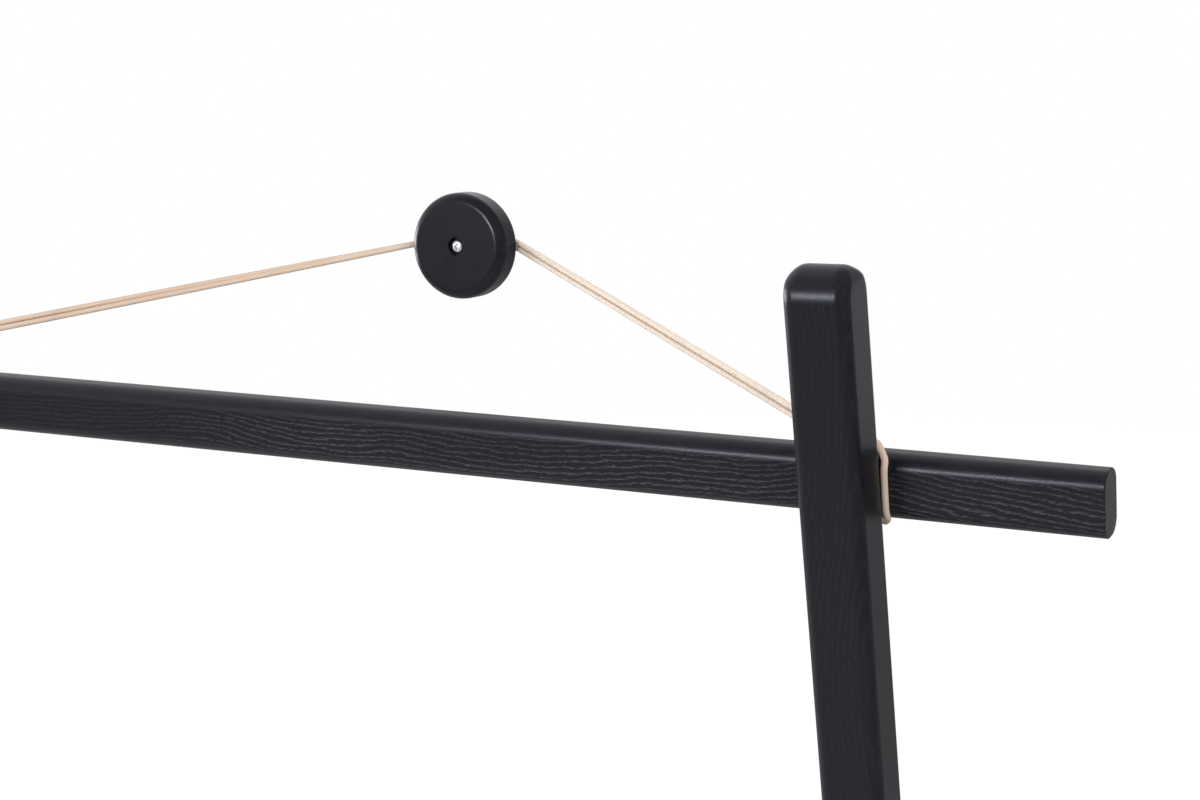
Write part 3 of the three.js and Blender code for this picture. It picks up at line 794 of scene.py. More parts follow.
@dataclass(frozen=True)
class CordLeather:
    """Natural vegetable-tanned leather, rubbed smooth along the cord, with painted shade that darkens its
    left half.
    """

    slot: str = "cord_leather"
    pale: Colour = (0.74, 0.63, 0.535)
    tan: Colour = (0.46, 0.31, 0.21)
    streak_fineness: Colour = (0.012, 0.5, 0.5)
    mottle_fineness: Colour = (0.05, 0.25, 0.25)
    # painted shade: the cord turns browner towards its left end, where less light falls on it
    painted_shade_edge: Edge = (560.0, 380.0)  # millimetres from the cord's left end
    painted_shade: float = 0.45
    streak: float = 0.4
    mottle: float = 0.4
    clear: float = 0.28  # taken off, so that only the strongest marks show
    roughness: Edge = (0.46, 0.66)

    def material(self, name: str, coordinates: str) -> bpy.types.Material:
        """The finish for a cord.

        Args:
            name: The material's name.
            coordinates: The mesh attribute that holds the straightened cord's coordinates.

        Returns:
            The material.
        """
        paint = Paint(name)
        source = paint.add("ShaderNodeAttribute", attribute_name=coordinates).outputs["Vector"]
        place = paint.scaled(source, (1000, 1000, 1000))
        streak = paint.grained(place, self.streak_fineness, 1)
        mottle = paint.grained(place, self.mottle_fineness)
        # painted shade: more tan towards the cord's left end, standing in for the lesser light there
        painted_shade = paint.between(paint.split(place)[0], *self.painted_shade_edge)
        tone = paint.calc("MULTIPLY_ADD", streak, self.streak, paint.calc("MULTIPLY", mottle, self.mottle))
        tone = paint.calc("MULTIPLY_ADD", painted_shade, self.painted_shade, tone)
        colour = paint.mix(paint.calc("SUBTRACT", tone, self.clear, clamp=True), self.pale, self.tan)
        rough = paint.span(mottle, *self.roughness)
        return paint.finish(Base_Color=colour, Roughness=rough, Specular_IOR_Level=0.35)


@dataclass(frozen=True)
class KeeperLeather:
    """The keepers' thicker leather, with a fine grain and darker burnished edges."""

    slot: str = "keeper_leather"
    pale: Colour = (0.52, 0.37, 0.255)
    burnished: Colour = (0.24, 0.135, 0.075)
    fineness: float = 1.3
    grain_tone: float = 0.45
    edge_tone: float = 0.55
    edge_from: float = 1.1  # millimetres from the end where the burnishing starts
    edge_full: float = 0.3
    relief_depth: float = 0.08 * MM
    roughness: Edge = (0.42, 0.67)

    def material(self, name: str, half_length: float) -> bpy.types.Material:
        """The finish for a keeper, whose local x runs along the cord.

        Args:
            name: The material's name.
            half_length: Half the sleeve's length.

        Returns:
            The material.
        """
        paint = Paint(name)
        place = paint.millimetres()
        grain = paint.noise(place, self.fineness, 4, 0.6)
        end = half_length / MM
        from_middle = paint.calc("ABSOLUTE", paint.split(place)[0])
        edge = paint.between(from_middle, end - self.edge_from, end - self.edge_full)
        marks = paint.calc("MULTIPLY", edge, self.edge_tone)
        tone = paint.calc("ADD", paint.calc("MULTIPLY", grain, self.grain_tone), marks)
        colour = paint.mix(tone, self.pale, self.burnished)
        paint.relief(grain, self.relief_depth)
        rough = paint.span(grain, *self.roughness)
        return paint.finish(Base_Color=colour, Roughness=rough, Specular_IOR_Level=0.35)


@dataclass(frozen=True)
class PlatedMetal:
    """Bright plated or machined metal, faintly brushed round its axis."""

    slot: str
    bright: Colour
    dull: Colour
    roughness: float
    rougher: float = 0.16
    cloud_fineness: float = 0.55
    brush_fineness: Colour = (1, 9, 1)
    relief_depth: float = 0.01 * MM

    def material(self, name: str) -> bpy.types.Material:
        """The finish for a small fastener.

        Args:
            name: The material's name.

        Returns:
            The material.
        """
        paint = Paint(name)
        place = paint.millimetres()
        cloud = paint.noise(place, self.cloud_fineness, 3, 0.6)
        brush = paint.grained(place, self.brush_fineness)
        colour = paint.mix(cloud, self.bright, self.dull)
        paint.relief(brush, self.relief_depth)
        rough = paint.calc("MULTIPLY_ADD", cloud, self.rougher, self.roughness)
        return paint.finish(Base_Color=colour, Roughness=rough, Metallic=1.0)


@dataclass(frozen=True)
class PlainMatt:
    """A matt material with a fine nap or grain: beech, felt or moulded nylon."""

    slot: str
    light: Colour
    dark: Colour
    fineness: Colour
    relief_depth: float
    roughness: float = 0.8
    tone_edge: Edge = (0.3, 0.7)
    rougher: float = 0.1

    def material(self, name: str) -> bpy.types.Material:
        """The finish for a small piece.

        Args:
            name: The material's name.

        Returns:
            The material.
        """
        paint = Paint(name)
        grain = paint.noise(paint.millimetres(self.fineness), 1.0, 4, 0.65)
        colour = paint.mix(paint.between(grain, *self.tone_edge), self.light, self.dark)
        paint.relief(grain, self.relief_depth)
        rough = paint.span(grain, self.roughness - self.rougher, self.roughness + self.rougher)
        return paint.finish(Base_Color=colour, Roughness=rough, Specular_IOR_Level=0.3)


ASH = StainedAsh()
KNOB_WOOD = StainedKnob()
CORD = CordLeather()
KEEPER = KeeperLeather()
ZINC = PlatedMetal("zinc_steel", (0.90, 0.92, 0.94), (0.74, 0.76, 0.79), 0.32)
BRASS = PlatedMetal("insert_brass", (0.68, 0.50, 0.22), (0.50, 0.34, 0.13), 0.3)
BEECH = PlainMatt("dowel_beech", (0.66, 0.49, 0.32), (0.50, 0.34, 0.20), (0.9, 0.08, 0.9), 0.05 * MM)
FELT = PlainMatt("felt_pad", (0.055, 0.055, 0.058), (0.022, 0.022, 0.024), (2.2, 2.2, 2.2), 0.25 * MM, 0.95)
NYLON = PlainMatt("plug_nylon", (0.33, 0.34, 0.36), (0.26, 0.27, 0.29), (0.4, 0.4, 0.4), 0.02 * MM, 0.55)


def dress(made: bpy.types.Object, material: bpy.types.Material, slot: str, body: Body, *nodes: str) -> None:
    """Gives a finished piece its material, its body and the nodes that it stands for.

    Args:
        made: The piece.
        material: Its material.
        slot: A material slot's name; not used.
        body: The body that it rides on.
        *nodes: The nodes that it replaces.
    """
    made.data.materials.clear()
    made.data.materials.append(material)
    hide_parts(*nodes)
    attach(made, body.value)
    LOG.info("%s: %d faces, rides on %s", made.name, len(made.data.polygons), body.value)


def dress_node(node: str, material: bpy.types.Material) -> None:
    """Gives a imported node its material.

    Args:
        node: The node's name.
        material: Its material.
    """
    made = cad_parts[node]
    made.data.materials.clear()
    made.data.materials.append(material)
    LOG.info("%s: kept as packed", node)


def middle(node: str) -> Vector:
    """The middle of a node's box."""
    low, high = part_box(node)
    return (low + high) / 2


# ---- The studio ---------------------------------------------------------------------------------


@dataclass
class Studio:
    """Camera, lamps, world and floor."""

    image_width: float = 1200.0
    focal_pixels: float = 2358.26
    from_bar: Vector = field(default_factory=lambda: Vector((0.93033, -1.269915, 0.25745)))
    azimuth: float = 27.54
    elevation: float = 8.83
    sensor: float = 36.0
    floor_radius: float = 9.0
    floor_grey: float = 0.45
    floor_near: float = 1200.0  # millimetres from the origin, up to where it glows least
    floor_far: float = 3500.0
    glow_near: float = 0.50
    glow_far: float = 0.75

    def make_camera(self) -> None:
        """The camera at the photograph's place."""
        data = bpy.data.cameras.new("camera")
        data.sensor_width = self.sensor
        data.lens = self.sensor * self.focal_pixels / self.image_width
        camera = bpy.data.objects.new("camera", data)
        a, e = math.radians(self.azimuth), math.radians(self.elevation)
        back = Vector((math.sin(a) * math.cos(e), -math.cos(a) * math.cos(e), math.sin(e)))
        camera.location = middle(Crossing.TOP.value) + self.from_bar
        camera.rotation_euler = back.to_track_quat("Z", "Y").to_euler()
        bpy.context.scene.collection.objects.link(camera)
        bpy.context.scene.camera = camera

    def softbox(
        self, name: str, place: Vector, aim: Vector, size: tuple[float, float], power: float,
    ) -> bpy.types.Object:
        """A rectangular lamp.

        Args:
            name: The lamp's name.
            place: Its middle.
            aim: The point that it faces.
            size: Its width and height.
            power: Its power in watts.

        Returns:
            The lamp.
        """
        data = bpy.data.lights.new(name, "AREA")
        data.shape = "RECTANGLE"
        data.size, data.size_y = size
        data.energy = power
        lamp = bpy.data.objects.new(name, data)
        lamp.location = place
        lamp.rotation_euler = (aim - place).to_track_quat("-Z", "Y").to_euler()
        bpy.context.scene.collection.objects.link(lamp)
        return lamp

    def make_lamps(self) -> None:
        """A broad lamp high at the right, one at the left and a low strip in front."""
        stand = Vector((0, -0.1, 1.4))
        high = self.softbox("lamp_high", Vector((2.1, -1.7, 3.3)), stand, (2.4, 2.0), 75)
        high.visible_glossy = False
        self.softbox("lamp_left", Vector((-3.0, 0.0, 1.35)), stand, (1.9, 1.0), 60)
        self.softbox("lamp_front", Vector((-0.62, -3.1, 2.0)), stand, (0.9, 0.30), 47)

    def make_world(self) -> None:
        """White to the camera; for the rest brighter towards the wall, and dimmer in reflections."""
        world = bpy.data.worlds.new("studio")
        bpy.context.scene.world = world
        world.use_nodes = True
        nodes = Nodes(world.node_tree)
        east, north, _ = nodes.split(nodes.add("ShaderNodeTexCoord").outputs["Generated"])
        path = nodes.add("ShaderNodeLightPath")

        def rising(turn: float, rise: Edge, strengths: Edge) -> bpy.types.NodeSocket:
            """A strength that rises towards the wall, or to its left by the turn's share.

            Args:
                turn: How far the rise leans to the left.
                rise: The directions' values at which it starts and ends.
                strengths: The strengths before and after it.

            Returns:
                The strength's output.
            """
            lean = nodes.calc("MULTIPLY_ADD", east, -turn, north)
            return nodes.between(lean, *rise, *strengths, kind="LINEAR")

        def choose(kind: str, one: object, other: object) -> bpy.types.NodeSocket:
            """A strength for one kind of ray, and another for the rest.

            Args:
                kind: The kind of ray, as the light path names it.
                one: The strength for it.
                other: The strength for the rest.

            Returns:
                The strength's output.
            """
            node = nodes.add("ShaderNodeMix")
            for socket, value in ((0, path.outputs[kind]), (2, other), (3, one)):
                nodes.feed(node.inputs[socket], value)
            return node.outputs[0]

        lighting = rising(0.0, (-0.5, 0.7), (0.42, 0.85))
        mirrored = choose("Is Glossy Ray", rising(2.0, (-0.1, 0.9), (0.32, 1.0)), lighting)
        background = world.node_tree.nodes["Background"]
        nodes.feed(background.inputs["Strength"], choose("Is Camera Ray", 1.0, mirrored))
        nodes.feed(background.inputs["Color"], (1, 1, 1, 1))

    def make_floor(self) -> None:
        """A pale floor that is white to the camera where nothing shades it."""
        mesh = bmesh.new()
        bmesh.ops.create_circle(mesh, cap_ends=True, radius=self.floor_radius, segments=96)
        floor = to_object("studio_floor", mesh, Matrix.Identity(4))
        paint = Paint("studio_floor")
        path = paint.add("ShaderNodeLightPath")
        east, north, _ = paint.split(paint.millimetres())
        squares = paint.calc("ADD", paint.calc("POWER", east, 2.0), paint.calc("POWER", north, 2.0))
        distance = paint.calc("SQRT", squares)
        glow = paint.between(distance, self.floor_near, self.floor_far, self.glow_near, self.glow_far)
        seen = paint.calc("MULTIPLY", path.outputs["Is Camera Ray"], glow)
        paint.finish(Base_Color=(self.floor_grey,) * 3, Roughness=0.9, Specular_IOR_Level=0.0)
        paint.finish(Emission_Color=(1, 1, 1), Emission_Strength=seen)
        floor.data.materials.append(paint.material)


# ---- The leaning frame --------------------------------------------------------------------------


@dataclass
class LeaningFrame:
    """Posts, bars, feet and the fasteners at each crossing.

    In the frame's own space x runs along the bars, y through the posts towards the wall and z up
    the lean, and the origin is on the top bar's centre line.
    """

    bar_thickness: float = 24 * MM
    bar_height: float = 40 * MM
    bar_edge_radius: float = 10 * MM
    bar_end_break: float = 0.8 * MM
    post_width: float = 40 * MM
    post_depth: float = 38 * MM
    post_edge_radius: float = 8 * MM
    post_end_radius: float = 10 * MM
    post_crest_flat: float = 0.5 * MM
    post_corner_share: float = 0.8
    post_above_bar: float = 138.5 * MM
    post_half_spacing: float = 439 * MM
    splay: float = math.radians(1)
    foot_level: float = 3.3 * MM
    bolt_diameter: float = 6 * MM
    bolt_length: float = 30 * MM
    bolt_pitch: float = 1 * MM
    bolt_thread: float = 0.55 * MM
    head_diameter: float = 10 * MM
    head_height: float = 6 * MM
    head_break: float = 0.8 * MM
    head_ridges: int = 40
    ridge_depth: float = 0.12 * MM
    socket_flats: float = 5 * MM
    socket_depth: float = 3 * MM
    washer_diameter: float = 12 * MM
    washer_thickness: float = 1.6 * MM
    washer_ease: float = 0.2 * MM
    counterbore_diameter: float = 14 * MM
    counterbore_depth: float = 9 * MM
    insert_diameter: float = 9.4 * MM
    insert_hole_depth: float = 20 * MM
    dowel_diameter: float = 8 * MM
    dowel_reach: float = 13 * MM
    dowel_offset: float = 12 * MM
    pad_corner: float = 6 * MM
    pad_ease: float = 0.7 * MM

    def __post_init__(self) -> None:
        """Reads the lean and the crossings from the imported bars."""
        top, low = middle(Crossing.TOP.value), middle(Crossing.LOW.value)
        self.lean = math.atan2(low.y - top.y, top.z - low.z)
        self.place = Matrix.Translation(top) @ Matrix.Rotation(self.lean, 4, "X")
        self.levels = {Crossing.TOP: 0.0, Crossing.LOW: -(top - low).length}
        self.rear = -(self.bar_thickness / 2 + SEAT_GAP)  # the posts' rear faces

    def post_x(self, side: Side, level: float) -> float:
        """The x of a post's middle at a height over the top bar."""
        return side.value * (self.post_half_spacing - level * math.tan(self.splay))

    def crossing_place(self, crossing: Crossing, side: Side, y: float) -> Matrix:
        """The place of a fastener at a crossing.

        Args:
            crossing: Which bar it holds.
            side: Which post it is at.
            y: How far it lies towards the wall.

        Returns:
            Its matrix.
        """
        level = self.levels[crossing]
        return self.place @ Matrix.Translation((self.post_x(side, level), y, level))

    def bore(self, diameter: float, start: float, end: float, x: float, z: float) -> bmesh.types.BMesh:
        """A drill's shape through the frame at a crossing.

        Args:
            diameter: The hole's nominal diameter.
            start: The drill's first y.
            end: The drill's last y.
            x: The hole's x.
            z: The hole's height.

        Returns:
            The drill's shape in the frame's space.
        """
        return moved(rod(diameter / 2, start, end), Matrix.Translation((x, 0, z)))

    def build_bar(self, crossing: Crossing) -> bpy.types.Object:
        """A flat-oval bar with its bores, grain along x.

        Args:
            crossing: Which bar.

        Returns:
            The bar.
        """
        low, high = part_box(crossing.value)
        rings = []
        for x, inset in eased_ends((high.x - low.x) / 2, self.bar_end_break, 3):
            wide, tall = self.bar_thickness - 2 * inset, self.bar_height - 2 * inset
            rings.append(section_at(x, rounded_rectangle(wide, tall, self.bar_edge_radius - inset, 14)))
        level = self.levels[crossing]
        place = self.place @ Matrix.Translation((0, 0, level))
        made = to_object(f"{crossing.value}_wood", loft(rings), place)
        half, over = self.bar_thickness / 2, 1 * MM
        sunk = half - self.counterbore_depth
        tools = []
        for side in Side:
            x = self.post_x(side, level)
            peg = x - side.value * self.dowel_offset
            tools.append(self.bore(loose(self.bolt_diameter), -half - over, half + over, x, 0))
            tools.append(self.bore(self.counterbore_diameter, sunk, half + over, x, 0))
            blind = self.rear + self.dowel_reach
            tools.append(self.bore(loose(self.dowel_diameter), -half - over, blind, peg, 0))
        drill(made, tools)
        smooth(made)
        return made

    def build_post(self, side: Side) -> bpy.types.Object:
        """A post, cut flat at the floor and rounded at the top, grain along its own x.

        Args:
            side: Which post.

        Returns:
            The post.
        """
        upright = Matrix(((0, 0, -1, 0), (0, 1, 0, 0), (1, 0, 0, 0), (0, 0, 0, 1)))
        beside = Matrix.Translation((side.value * self.post_half_spacing, self.rear - self.post_depth / 2, 0))
        place = self.place @ beside @ Matrix.Rotation(-side.value * self.splay, 4, "Y") @ upright

        def foot(y: float, z: float) -> float:
            """How far along the post the floor's cut lies at a point of its section."""
            return (self.foot_level - (place @ Vector((0, y, z))).z) / place.col[0].z

        outline = rounded_rectangle(self.post_depth, self.post_width, self.post_edge_radius)
        rings = [[Vector((foot(y, z), y, z)) for y, z in outline]]
        crown, end = self.post_depth / 2, self.post_end_radius
        crest_turn = math.degrees(math.acos(self.post_crest_flat / self.post_depth))
        for half_depth, rise in arc((0, 0), crown, (0, crest_turn), 26):
            reach = max(0.0, end - (crown - rise))
            inset = end - math.sqrt(end ** 2 - reach ** 2)
            corner = min(self.post_edge_radius, half_depth * self.post_corner_share)
            outline = rounded_rectangle(2 * half_depth, self.post_width - 2 * inset, corner)
            rings.append(section_at(self.post_above_bar - crown + rise, outline))
        made = to_object(f"post_{side.word}_wood", loft(rings), place)
        rear, over = self.rear, 0.5 * MM
        insert_hole, dowel_hole = loose(self.insert_diameter), loose(self.dowel_diameter)
        tools = []
        for level in self.levels.values():
            x = self.post_x(side, level)
            peg = x - side.value * self.dowel_offset
            tools.append(self.bore(insert_hole, rear - self.insert_hole_depth, rear + over, x, level))
            tools.append(self.bore(dowel_hole, rear - self.dowel_reach, rear + over, peg, level))
        back_to_frame = place.inverted() @ self.place
        drill(made, [moved(tool, back_to_frame) for tool in tools])
        smooth(made)
        return made

    def build_bolt(self, crossing: Crossing, side: Side) -> bpy.types.Object:
        """A socket-head bolt with a knurled head and a threaded shank.

        Args:
            crossing: Which bar it holds.
            side: Which post it is in.

        Returns:
            The bolt.
        """
        head, rise, edge = self.head_diameter / 2, self.head_height, self.head_break
        shank, lip, bevel = self.bolt_diameter / 2, 0.1 * MM, edge * 0.3
        rings = []
        for radius, y in (
            (shank, 0), (head - lip, 0), (head, lip), (head, rise - edge),
            (head - bevel, rise - bevel), (head - edge, rise),
        ):
            ring = []
            for step, angle in enumerate(full_turn(2 * self.head_ridges)):
                notch = self.ridge_depth if step % 2 and radius == head else 0
                ring.append(beside_y(radius - notch, angle, y))
            rings.append(ring)
        seat = self.bar_thickness / 2 - self.counterbore_depth
        place = self.crossing_place(crossing, side, seat + 2 * SEAT_GAP + self.washer_thickness)
        made = to_object(f"bolt_{crossing.word}_{side.word}_steel", loft(rings), place)
        hexagon = self.socket_flats / 2 / math.cos(math.pi / 6)
        drill(made, [rod(hexagon, rise - self.socket_depth, rise + 1 * MM, 6)])
        core = shank - self.bolt_thread
        add_body(made, threaded_rod(core, shank, self.bolt_pitch, (0, -self.bolt_length), 0))
        smooth(made, 32)
        return made

    def build_washer(self, crossing: Crossing, side: Side) -> bpy.types.Object:
        """A flat washer with eased edges.

        Args:
            crossing: Which bar it is under.
            side: Which post it is at.

        Returns:
            The washer.
        """
        seat = self.bar_thickness / 2 - self.counterbore_depth + SEAT_GAP
        inner, outer = loose(self.bolt_diameter) / 2, self.washer_diameter / 2
        thick, ease = self.washer_thickness, self.washer_ease
        profile = [
            (inner, ease), (inner + ease, 0), (outer - ease, 0), (outer, ease),
            (outer, thick - ease), (outer - ease, thick), (inner + ease, thick), (inner, thick - ease),
        ]
        place = self.crossing_place(crossing, side, seat)
        made = to_object(f"washer_{crossing.word}_{side.word}_steel", lathe(profile, 64, closed=True), place)
        smooth(made, 50)
        return made

    def build_pad(self, side: Side) -> bpy.types.Object:
        """A pressed felt pad under a foot.

        Args:
            side: Which foot.

        Returns:
            The pad.
        """
        low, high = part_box(f"foot_pad_{side.word}")
        size, centre = high - low, (low + high) / 2
        rings = []
        for z, inset in eased_ends(size.z / 2, self.pad_ease, 4):
            outline = rounded_rectangle(size.x - 2 * inset, size.y - 2 * inset, self.pad_corner - inset)
            rings.append([Vector((x, y, z)) for x, y in outline])
        made = to_object(f"foot_pad_{side.word}_felt", loft(rings), Matrix.Translation(centre))
        smooth(made)
        return made

    def build(self) -> None:
        """Builds and dresses the whole frame."""
        wood = {Crossing.TOP: ((30.0, -48.0), 3.7), Crossing.LOW: ((36.0, 44.0), 11.3)}
        for crossing, (pith, seed) in wood.items():
            made = self.build_bar(crossing)
            material = ASH.material(made.name, Sawing(pith, seed, 1.0, 11.0, 0.0))
            dress(made, material, ASH.slot, Body.FRAME, crossing.value)
        for side, seed in ((Side.LEFT, 21.9), (Side.RIGHT, 33.1)):
            made = self.build_post(side)
            material = ASH.material(made.name, Sawing((side.value * 150.0, 170.0), seed, 0.12))
            dress(made, material, ASH.slot, Body.FRAME, f"post_{side.word}")
            pad = self.build_pad(side)
            dress(pad, FELT.material(pad.name), FELT.slot, Body.FRAME, f"foot_pad_{side.word}")
        zinc, brass = ZINC.material("bolt_zinc"), BRASS.material("insert_brass")
        beech = BEECH.material("dowel_beech")
        for crossing in Crossing:
            for side in Side:
                spot = f"{crossing.word}_{side.word}"
                dress(self.build_bolt(crossing, side), zinc, ZINC.slot, Body.FRAME, f"bolt_{spot}")
                dress(self.build_washer(crossing, side), zinc, ZINC.slot, Body.FRAME, f"washer_{spot}")
                dress_node(f"insert_{spot}", brass)
                dress_node(f"dowel_{spot}", beech)


# ---- The wall anchor ----------------------------------------------------------------------------


@dataclass
class WallAnchor:
    """The turned knob, its screw and the wall plug. Their own y = 0 is the wall's face."""

    thickness: float = 23 * MM
    front_radius: float = 7.5 * MM
    back_radius: float = 2 * MM
    neck_diameter: float = 14 * MM
    neck_length: float = 14 * MM
    neck_fillet: float = 1 * MM
    base_diameter: float = 30 * MM
    base_thickness: float = 3 * MM
    relief_diameter: float = 12 * MM
    relief_depth: float = 0.5 * MM
    counterbore_diameter: float = 14 * MM
    counterbore_depth: float = 4.3 * MM
    edge_ease: float = 0.35 * MM
    screw_diameter: float = 5 * MM
    screw_length: float = 70 * MM
    screw_tip: float = 8 * MM
    screw_pitch: float = 2.4 * MM
    screw_thread: float = 0.8 * MM
    screw_head_diameter: float = 9.6 * MM
    screw_head_height: float = 3.4 * MM
    screw_head_rim: float = 1.4 * MM
    screw_head_ease: float = 0.25 * MM
    recess_span: float = 5.2 * MM
    recess_width: float = 1.1 * MM
    recess_depth: float = 2 * MM
    recess_corner: float = 0.2 * MM
    recess_taper: float = 0.42  # how much shorter each slot is at its floor
    recess_pinch: float = 0.25  # and how much narrower
    plug_diameter: float = 8 * MM
    plug_length: float = 45 * MM
    plug_collar: float = 14 * MM
    plug_ribs: int = 6
    plug_rib_depth: float = 0.5 * MM
    plug_rib_step: float = 0.8 * MM
    plug_slot: float = 1 * MM

    def __post_init__(self) -> None:
        """Reads the knob's axis, its diameter and the wall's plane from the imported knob."""
        low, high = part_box("wall_knob")
        self.axis = Vector(((low.x + high.x) / 2, high.y, (low.z + high.z) / 2))
        self.diameter = high.x - low.x
        self.place = Matrix.Translation(self.axis)
        self.disc_back = -self.neck_length
        self.disc_front = self.disc_back - self.thickness
        self.screw_seat = self.disc_front + self.counterbore_depth

    def build_knob(self) -> bpy.types.Object:
        """The knob: a thick disc, round at its front edge, on a slim neck with a base.

        Returns:
            The knob.
        """
        disc, neck, base = self.diameter / 2, self.neck_diameter / 2, self.base_diameter / 2
        bore = loose(self.screw_diameter) / 2
        counterbore, ease = self.counterbore_diameter / 2, self.edge_ease
        front, back, fillet = self.front_radius, self.back_radius, self.neck_fillet
        profile = [(bore, self.screw_seat), (counterbore, self.screw_seat)]
        profile += arc((counterbore + ease, self.disc_front + ease), ease, (180, 270), 4)
        profile += arc((disc - front, self.disc_front + front), front, (-90, 0), 24)
        profile += arc((disc - back, self.disc_back - back), back, (0, 90), 8)
        profile += arc((neck + fillet, self.disc_back + fillet), fillet, (-90, -180), 6)
        profile += arc((neck + fillet, -self.base_thickness - fillet), fillet, (180, 90), 6)
        profile += arc((base - ease, -self.base_thickness + ease), ease, (-90, 0), 4)
        profile += [(base, 0), (self.relief_diameter / 2, 0)]
        profile += [(self.relief_diameter / 2, -self.relief_depth), (bore, -self.relief_depth)]
        made = to_object("wall_knob_wood", lathe(profile, 160, closed=True), self.place)
        smooth(made, 50)
        return made

    def build_screw(self) -> bpy.types.Object:
        """The pan-head wood screw, with a cross recess and a thread.

        Returns:
            The screw.
        """
        under = self.screw_seat - SEAT_GAP
        crown = under - self.screw_head_height
        head, dome = self.screw_head_diameter / 2, self.screw_head_height - self.screw_head_rim
        profile = []
        for share in spread(16):
            turn = math.pi / 2 * share
            profile.append((head * math.sin(turn), crown + dome * (1 - math.cos(turn))))
        ease = self.screw_head_ease
        profile += [(head, under - ease), (head - ease, under), (0, under)]
        made = to_object("wall_screw_steel", lathe(profile, 64), self.place)
        drill(made, [self.recess_tool(crown, turn) for turn in (0, math.pi / 2)])
        crest, tip = self.screw_diameter / 2, under + self.screw_length
        core = crest - self.screw_thread
        add_body(made, threaded_rod(core, crest, self.screw_pitch, (under, tip), self.screw_tip))
        smooth(made, 35)
        return made

    def recess_tool(self, crown: float, turn: float) -> bmesh.types.BMesh:
        """One of the two crossing slots of the recess, narrowing with depth.

        Args:
            crown: The head's top level.
            turn: The slot's angle about the screw's axis.

        Returns:
            The slot as a body.
        """
        rings = []
        for share in (-0.4, 1.0):  # from above the head down to the slot's floor
            sunk = max(share, 0)
            span = self.recess_span * (1 - self.recess_taper * sunk)
            width = self.recess_width * (1 - self.recess_pinch * sunk)
            outline = rounded_rectangle(span, width, self.recess_corner, 3)
            rings.append([Vector((x, crown + self.recess_depth * share, z)) for x, z in outline])
        return moved(loft(rings), Matrix.Rotation(turn, 4, "Y"))

    def build_plug(self) -> bpy.types.Object:
        """The ribbed plug, split along most of its length.

        Returns:
            The plug.
        """
        bore, outer = loose(self.screw_diameter) / 2, self.plug_diameter / 2
        ribbed = self.plug_length - self.plug_collar
        pitch = ribbed / self.plug_ribs
        profile = [(bore, SEAT_GAP), (outer, SEAT_GAP)]
        for rib in range(self.plug_ribs):
            start = self.plug_collar + rib * pitch
            profile += [(outer, start), (outer - self.plug_rib_depth, start + self.plug_rib_step)]
        profile += [(outer, self.plug_length), (bore, self.plug_length)]
        made = to_object("wall_plug_nylon", lathe(profile, 72, closed=True), self.place)
        slot = bmesh.new()
        bmesh.ops.create_cube(slot, size=1)
        over = 1 * MM
        size = Matrix.Diagonal((2 * self.plug_diameter, ribbed + over, self.plug_slot, 1))
        drill(made, [moved(slot, Matrix.Translation((0, self.plug_collar + (ribbed + over) / 2, 0)) @ size)])
        smooth(made, 30)
        return made

    def build(self) -> None:
        """Builds and dresses the pieces on the wall."""
        dress(self.build_knob(), KNOB_WOOD.material("knob_black"), KNOB_WOOD.slot, Body.WALL, "wall_knob")
        dress(self.build_screw(), ZINC.material("screw_zinc"), ZINC.slot, Body.WALL, "wall_screw")
        dress(self.build_plug(), NYLON.material("plug_grey"), NYLON.slot, Body.WALL, "wall_plug")


# ---- The leather cord ---------------------------------------------------------------------------


